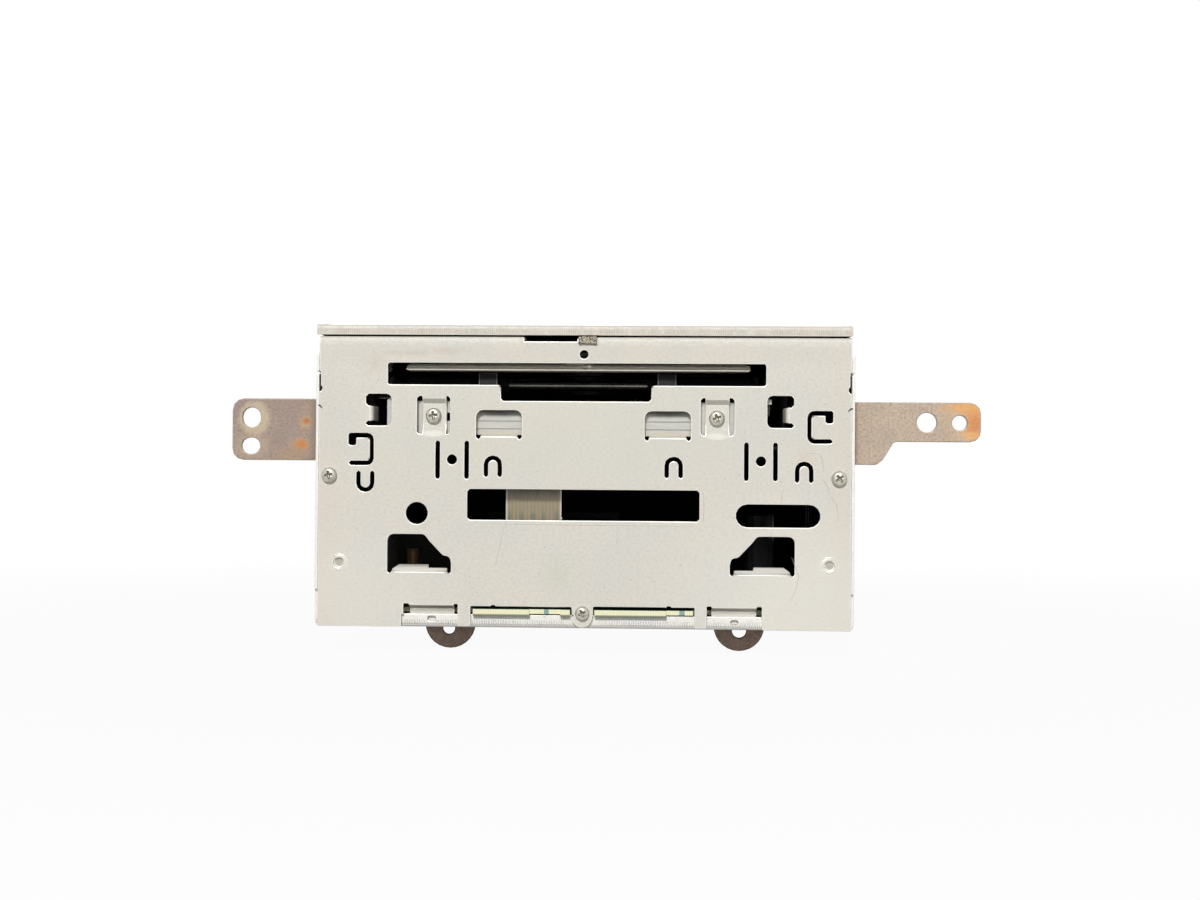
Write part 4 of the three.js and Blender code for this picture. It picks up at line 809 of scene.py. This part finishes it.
def panHead(look):
    # A turned profile (domed head, flat seat, threaded shank) round the screw's axis. The head is a
    # superellipse, radius R sin(t)^(2/n) and height H cos(t)^(2/n); a cross sinks into it where the
    # smaller of |u|, |v| is under the arm's half width and the larger is under its length.
    radius, bulge = look["radius"], 2 / look["power"]
    t = np.linspace(0, pi / 2, look["rings"])
    headRadius = radius * np.sin(t) ** bulge
    headHeight = look["height"] * np.cos(t).clip(0) ** bulge
    along = np.linspace(0, look["shank"], 40)
    thread = look["threadDepth"] * np.sin(2 * pi * along / look["threadPitch"])
    shankRadius = look["shankRadius"] * (1 + thread)
    shankRadius[0], shankRadius[-1] = look["shankRadius"], 0
    r = np.concatenate([headRadius, shankRadius])[:, None]
    h = np.concatenate([headHeight, -along])[:, None]
    angle = np.linspace(0, 2 * pi, look["spokes"], endpoint=False)[None, :]
    u, v = r * np.cos(angle), r * np.sin(angle)
    wide, long = look["arm"] * radius, look["reach"] * radius
    inside = np.maximum(np.minimum(abs(u), abs(v)) - wide, np.maximum(abs(u), abs(v)) - long)
    onHead = np.arange(len(r))[:, None] < len(t)
    cross = np.where(onHead, smoothStep(-inside / (look["crossSlope"] * radius)), 0)
    h = h - look["depth"] * cross * (1 - look["crossRise"] * (r / long).clip(0, 1))
    outward = np.array(look["outward"], float)
    side = np.cross(outward, (0, 0, 1) if abs(outward[2]) < 0.5 else (0, 1, 0))
    third = np.cross(outward, side)
    turn = radians(look["turn"])
    first = cos(turn) * side + sin(turn) * third
    second = np.cross(outward, first)
    points = np.array(look["seat"]) + u[..., None] * first + v[..., None] * second + h[..., None] * outward
    return points, cross


def addScrews(name, looks, standsFor=()):
    heads = [panHead(look) for look in looks]
    sheets, crosses = zip(*heads)
    gridPiece(name, sheets, brightZinc, standsFor, sunk=crosses)


# The cross's arm, reach and slope are shares of the head's radius
panLook = {
    "height": 1.9, "power": 3.0, "rings": 36, "spokes": 72, "arm": 0.17, "reach": 0.58, "depth": 0.9,
    "crossSlope": 0.09, "crossRise": 0.4, "shank": 4.5, "shankRadius": 1.45, "threadPitch": 0.5, "threadDepth": 0.09,
}
frontScrews = {
    "left_side_screw": {"seat": (-84.3, 0, 50.2), "radius": 2.6, "turn": 12},
    "right_side_screw": {"seat": (84.4, 0, 50.2), "radius": 2.6, "turn": 38},
    "centre_screw": {"seat": (0.2, 0, 5.2), "radius": 2.35, "turn": 28},
    "left_mechanism_screw": {"seat": (-49.8, 1.5, 70.2), "radius": 2.65, "turn": 8},
    "right_mechanism_screw": {"seat": (44.2, 1.5, 69.85), "radius": 2.6, "turn": 20},
}
for name, look in frontScrews.items():
    addScrews(name + "_head", [{**panLook, **look, "outward": (0, -1, 0)}], [name])


def wallAt(side, proud):
    return trayMiddle + side * (trayHalf + proud)


# Screws that hold the cover, the rear panel, the straps and the heat sink
plainPan = {**panLook, "radius": 2.5, "height": 1.6, "shank": 2.4, "rings": 20, "spokes": 40}
strapPan = {**plainPan, "radius": 3.4, "height": 2.0, "shank": 3.0, "shankRadius": 1.9}
otherScrews = {
    "bracket_screws": [
        {**strapPan, "seat": (wallAt(side, 1.9), y, 65.5), "outward": (side, 0, 0), "turn": 17 * y + 40 * side}
        for side in (-1, 1) for y in (30, 92)
    ],
    "side_screws": [
        {**plainPan, "seat": (wallAt(side, 0), y, z), "outward": (side, 0, 0), "turn": 23 * y + z}
        for side in (-1, 1) for y, z in ((21, 87.6), (81, 87.6), (136, 87.6), (155, 20), (155, 76), (125, 66))
    ],
    "foot_strap_screws": [
        {**strapPan, "seat": (x, y, -1.9), "outward": (0, 0, -1), "turn": 31 * y}
        for x in (-46.3, 52.8) for y in (45, 115)
    ],
    "rear_screws": [
        {**plainPan, "seat": (x, 161.3, 97), "outward": (0, 1, 0), "turn": 3 * x} for x in (-70, 0, 70)
    ],
    "sink_screws": [
        {**plainPan, "seat": (x, 164.3, z), "outward": (0, 1, 0), "turn": x + z}
        for x in (24.75, 77.25) for z in (13, 69)
    ],
}
for name, looks in otherScrews.items():
    addScrews(name, looks)
print("screws made")


def evenly(path, count):
    # The same line, at `count` points evenly spaced along it
    steps = np.r_[0, np.cumsum(np.linalg.norm(np.diff(path, axis=0), axis=1))]
    wanted = np.linspace(0, steps[-1], count)
    return np.stack([np.interp(wanted, steps, way) for way in path.T], -1)


def ripples(a, b, seed, size, count=14):
    # Sum of plane waves with random headings and phases; about -1 to 1
    rng = np.random.default_rng(seed)
    total = np.zeros(np.broadcast(a, b).shape)
    waves = zip(rng.uniform(0, pi, count), rng.uniform(0, 2 * pi, count), rng.uniform(0.5, 1.6, count))
    for heading, phase, length in waves:
        total += np.sin(2 * pi * (a * cos(heading) + b * sin(heading)) / (size * length) + phase)
    return total / count ** 0.5 / 1.5


def closedRows(x, y, z):
    # The rows of points, with a row shrunk to its middle added at each end, which closes the shape
    rows = np.stack(np.broadcast_arrays(x, y, z), -1)
    start, end = (np.broadcast_to(row.mean(0), row.shape)[None] for row in (rows[0], rows[-1]))
    return np.concatenate([start, rows, end])


def besideLine(path, offset):
    # Rows of points beside the line, at the offsets along its own normal at each of its points
    heading = np.gradient(path, axis=0)
    heading /= np.linalg.norm(heading, axis=1)[:, None]
    across = np.stack([-heading[:, 1], heading[:, 0]])[..., None]
    return path.T[..., None] + across * offset


guideLook = {
    "left": -59.5, "right": 55.3, "end": 1.1, "corner": 0.35,
    "outline": [(3.0, 85.4), (3.0, 86.0), (5, 86.05), (5, 87.2), (7.7, 87.3), (7.7, 87.9), (32, 87.9), (32, 86.6),
                (11, 86.6), (11, 85.4)],
}
postLook = {
    "lefts": (-50, -6.5, 37), "wide": 9, "end": 0.4, "corner": 0.4, "rows": 8,
    "outline": [(14, 87.5), (14, 90.7), (26, 90.7), (26, 87.5)],
}


def roundedOutline(corners, radius, steps=5):
    # Every corner cut off `radius` short of it, or less on a short side, with a curve between the cuts
    corners = np.array(corners, float)
    before, after = np.roll(corners, 1, axis=0) - corners, np.roll(corners, -1, axis=0) - corners
    start, end = (corners + way * np.minimum(radius / np.linalg.norm(way, axis=1), 0.4)[:, None]
                  for way in (before, after))
    t = np.linspace(0, 1, steps)[None, :, None]
    curve = (1 - t) ** 2 * start[:, None] + 2 * t * (1 - t) * corners[:, None] + t ** 2 * end[:, None]
    return curve.reshape(-1, 2)


def moulding(outline, left, right, end, rows=40):
    # The outline in (y, z) carried along x; at both ends it shrinks towards its middle by a quarter circle
    t = np.linspace(0, pi / 2, 8)
    x = np.concatenate([left + end * (1 - np.cos(t)), np.linspace(left + end, right - end, rows)[1:-1],
                        right - end * (1 - np.sin(t))])
    inset = np.minimum(x - left, right - x).clip(0, end)
    share = np.sqrt(np.maximum(1 - (1 - inset / end) ** 2, 0.04))[:, None]
    low, high = outline.min(0), outline.max(0)
    shrink = 1 - (1 - share) * end / (high - low)
    points = (low + high) / 2 + (outline - (low + high) / 2) * shrink[:, None]
    return closedRows(x[:, None], points[..., 0], points[..., 1])


guideOutline = roundedOutline(guideLook["outline"], guideLook["corner"])
guideSheets = [moulding(guideOutline, guideLook["left"], guideLook["right"], guideLook["end"])]
postOutline = roundedOutline(postLook["outline"], postLook["corner"])
for left in postLook["lefts"]:
    guideSheets.append(moulding(postOutline, left, left + postLook["wide"], postLook["end"], postLook["rows"]))
gridPiece("moulded_disc_guide", guideSheets, whitePlastic, ["disc_guide"], sharpFrom=50)

padLook = {
    "left": -1.65, "right": 4.4, "girth": 23, "thread": 0.45, "weave": 0.03, "crumble": 0.16, "lump": 1.6,
    "slack": 0.6, "seed": 4,
    "outline": [(9, 96.4), (9, 98.6), (1, 98.6), (1, 96.75), (-0.45, 96.75), (-1.1, 96.2), (-1.1, 94.2), (-0.3, 94.1),
                (-0.3, 95.3), (0.1, 96.1), (0.9, 96.4), (9, 96.4)],
}


def groundingPad(look):
    # The pad's outline in (y, z) carried along x and pushed out by a weave, sin by sin, and by ripples
    outline = evenly(np.array(look["outline"]), 241)[:-1]
    x = np.linspace(look["left"], look["right"], 70)[:, None]
    along = np.linspace(0, look["girth"], len(outline))[None, :]
    heading = np.roll(outline, -1, axis=0) - np.roll(outline, 1, axis=0)
    heading /= np.linalg.norm(heading, axis=1)[:, None]
    outward = np.stack([heading[:, 1], -heading[:, 0]], -1)
    weave = np.sin(2 * pi * x / look["thread"]) * np.sin(2 * pi * along / look["thread"])
    crumpled = ripples(x, along, look["seed"], look["lump"]) - look["slack"]
    push = look["weave"] * weave + look["crumble"] * crumpled
    return closedRows(x, outline[:, 0] + push * outward[:, 0], outline[:, 1] + push * outward[:, 1])


gridPiece("woven_grounding_pad", [groundingPad(padLook)], wovenPad, ["grounding_pad"], sharpFrom=80)

ribbonLook = {
    "left": -25.9, "right": -7.3, "pitch": 1.25, "thick": 0.24, "ridge": 0.015, "low": 7.8, "high": 53.6,
    "front": 6.45, "bow": 0.35, "bend": 1.45, "rear": 12.4,
}


def ribbonCable(look):
    # A flat section with a low ridge over each copper strip, carried up from its socket on the main
    # board and round a quarter turn to the socket above; it bows a little towards the front
    low, high, front, bend = look["low"], look["high"], look["front"], look["bend"]
    straight = np.linspace(low, high, 40)
    turn = np.linspace(0, pi / 2, 12)[1:]
    path = np.concatenate([
        np.stack([front - look["bow"] * np.sin(pi * (straight - low) / (high - low)), straight], -1),
        np.stack([front + bend * (1 - np.cos(turn)), high + bend * np.sin(turn)], -1),
        [[look["rear"], high + bend]],
    ])
    x = np.linspace(look["left"], look["right"], 160)
    ridge = look["ridge"] * (0.5 + 0.5 * np.cos(2 * pi * (x - look["left"] - look["pitch"] / 2) / look["pitch"]))
    lift = look["thick"] / 2 * np.ones_like(x)
    y, z = besideLine(evenly(path, 70), np.concatenate([lift + ridge, -lift]))
    return closedRows(np.concatenate([x, x[::-1]]), y, z)


gridPiece("flat_ribbon_cable", [ribbonCable(ribbonLook)], ribbonFilm, ["ribbon_cable"], sharpFrom=60)


# Scratches and nicks: thin lines on the plate's face, each through a few points (x, z)
scratchInk = rolledSteel("scratched_zinc", {
    **plateLook, "warm": "#B5AFA3", "cool": "#C2BDB1", "shade": "#A19A8D", "cloud": 4,
})
# A dark ink for short strokes where the plate's edges are nicked
nickInk = rolledSteel("dirt_in_a_nick", {
    **plateLook, "warm": "#3E3932", "cool": "#2E2A25", "shade": "#221F1B", "cloud": 2,
})
scratchLook = {"width": 0.16, "proud": 0.012}
nickLook = {"width": 0.55, "proud": 0.03}
scratchLines = [
    [(68.9, 24.4), (70.4, 20.4), (71.2, 17.4), (70.0, 12.6), (68.2, 9.2)],
    [(78.6, 50.2), (80.6, 47.6), (81.3, 45.0)],
    [(81.3, 45.0), (83.6, 41.2), (84.1, 36.0)],
    [(66.5, 47.0), (65.6, 44.8), (65.9, 42.8)],
    [(73.6, 58.6), (78.2, 57.8), (79.4, 52.4)],
    [(-25.9, 34.0), (-26.9, 28.5), (-28.9, 19.5)],
    [(-37.5, 34.4), (0, 34.2), (38.6, 34.1)],
    [(39.9, 35.3), (40.1, 40), (39.9, 45.5)],
]
nickLines = [
    [(-88.4, 73.4), (-87.7, 73.3), (-86.9, 72.4)],
    [(87.2, 72.2), (88.0, 73.0), (88.9, 73.3)],
]


def scratch(line, look):
    # A flat half-oval section carried along a smooth line through the given points
    knots = np.array(line, float)
    t = np.linspace(0, len(knots) - 1, 12 * len(knots))
    k = np.clip(t.astype(int), 0, len(knots) - 2)
    part = (t - k)[:, None]
    padded = np.concatenate([[2 * knots[0] - knots[1]], knots, [2 * knots[-1] - knots[-2]]])
    a, b, c, d = (padded[k + n] for n in range(4))
    curve = (2 * a - 5 * b + 4 * c - d) * part ** 2 + (3 * b - a - 3 * c + d) * part ** 3
    path = 0.5 * (2 * b + (c - a) * part + curve)
    angle = np.linspace(0, 2 * pi, 8, endpoint=False)
    narrow = np.sin(np.linspace(0.05, pi - 0.05, len(path)))[:, None] ** 0.5
    x, z = besideLine(path, look["width"] / 2 * np.cos(angle) * narrow)
    return closedRows(x, -look["proud"] * np.sin(angle), z)


for name, lines, look, ink in (("plate_scratches", scratchLines, scratchLook, scratchInk),
                              ("edge_nicks", nickLines, nickLook, nickInk)):
    gridPiece(name, [scratch(line, look) for line in lines], ink, sharpFrom=80)
print("pad, ribbon and scratches made")
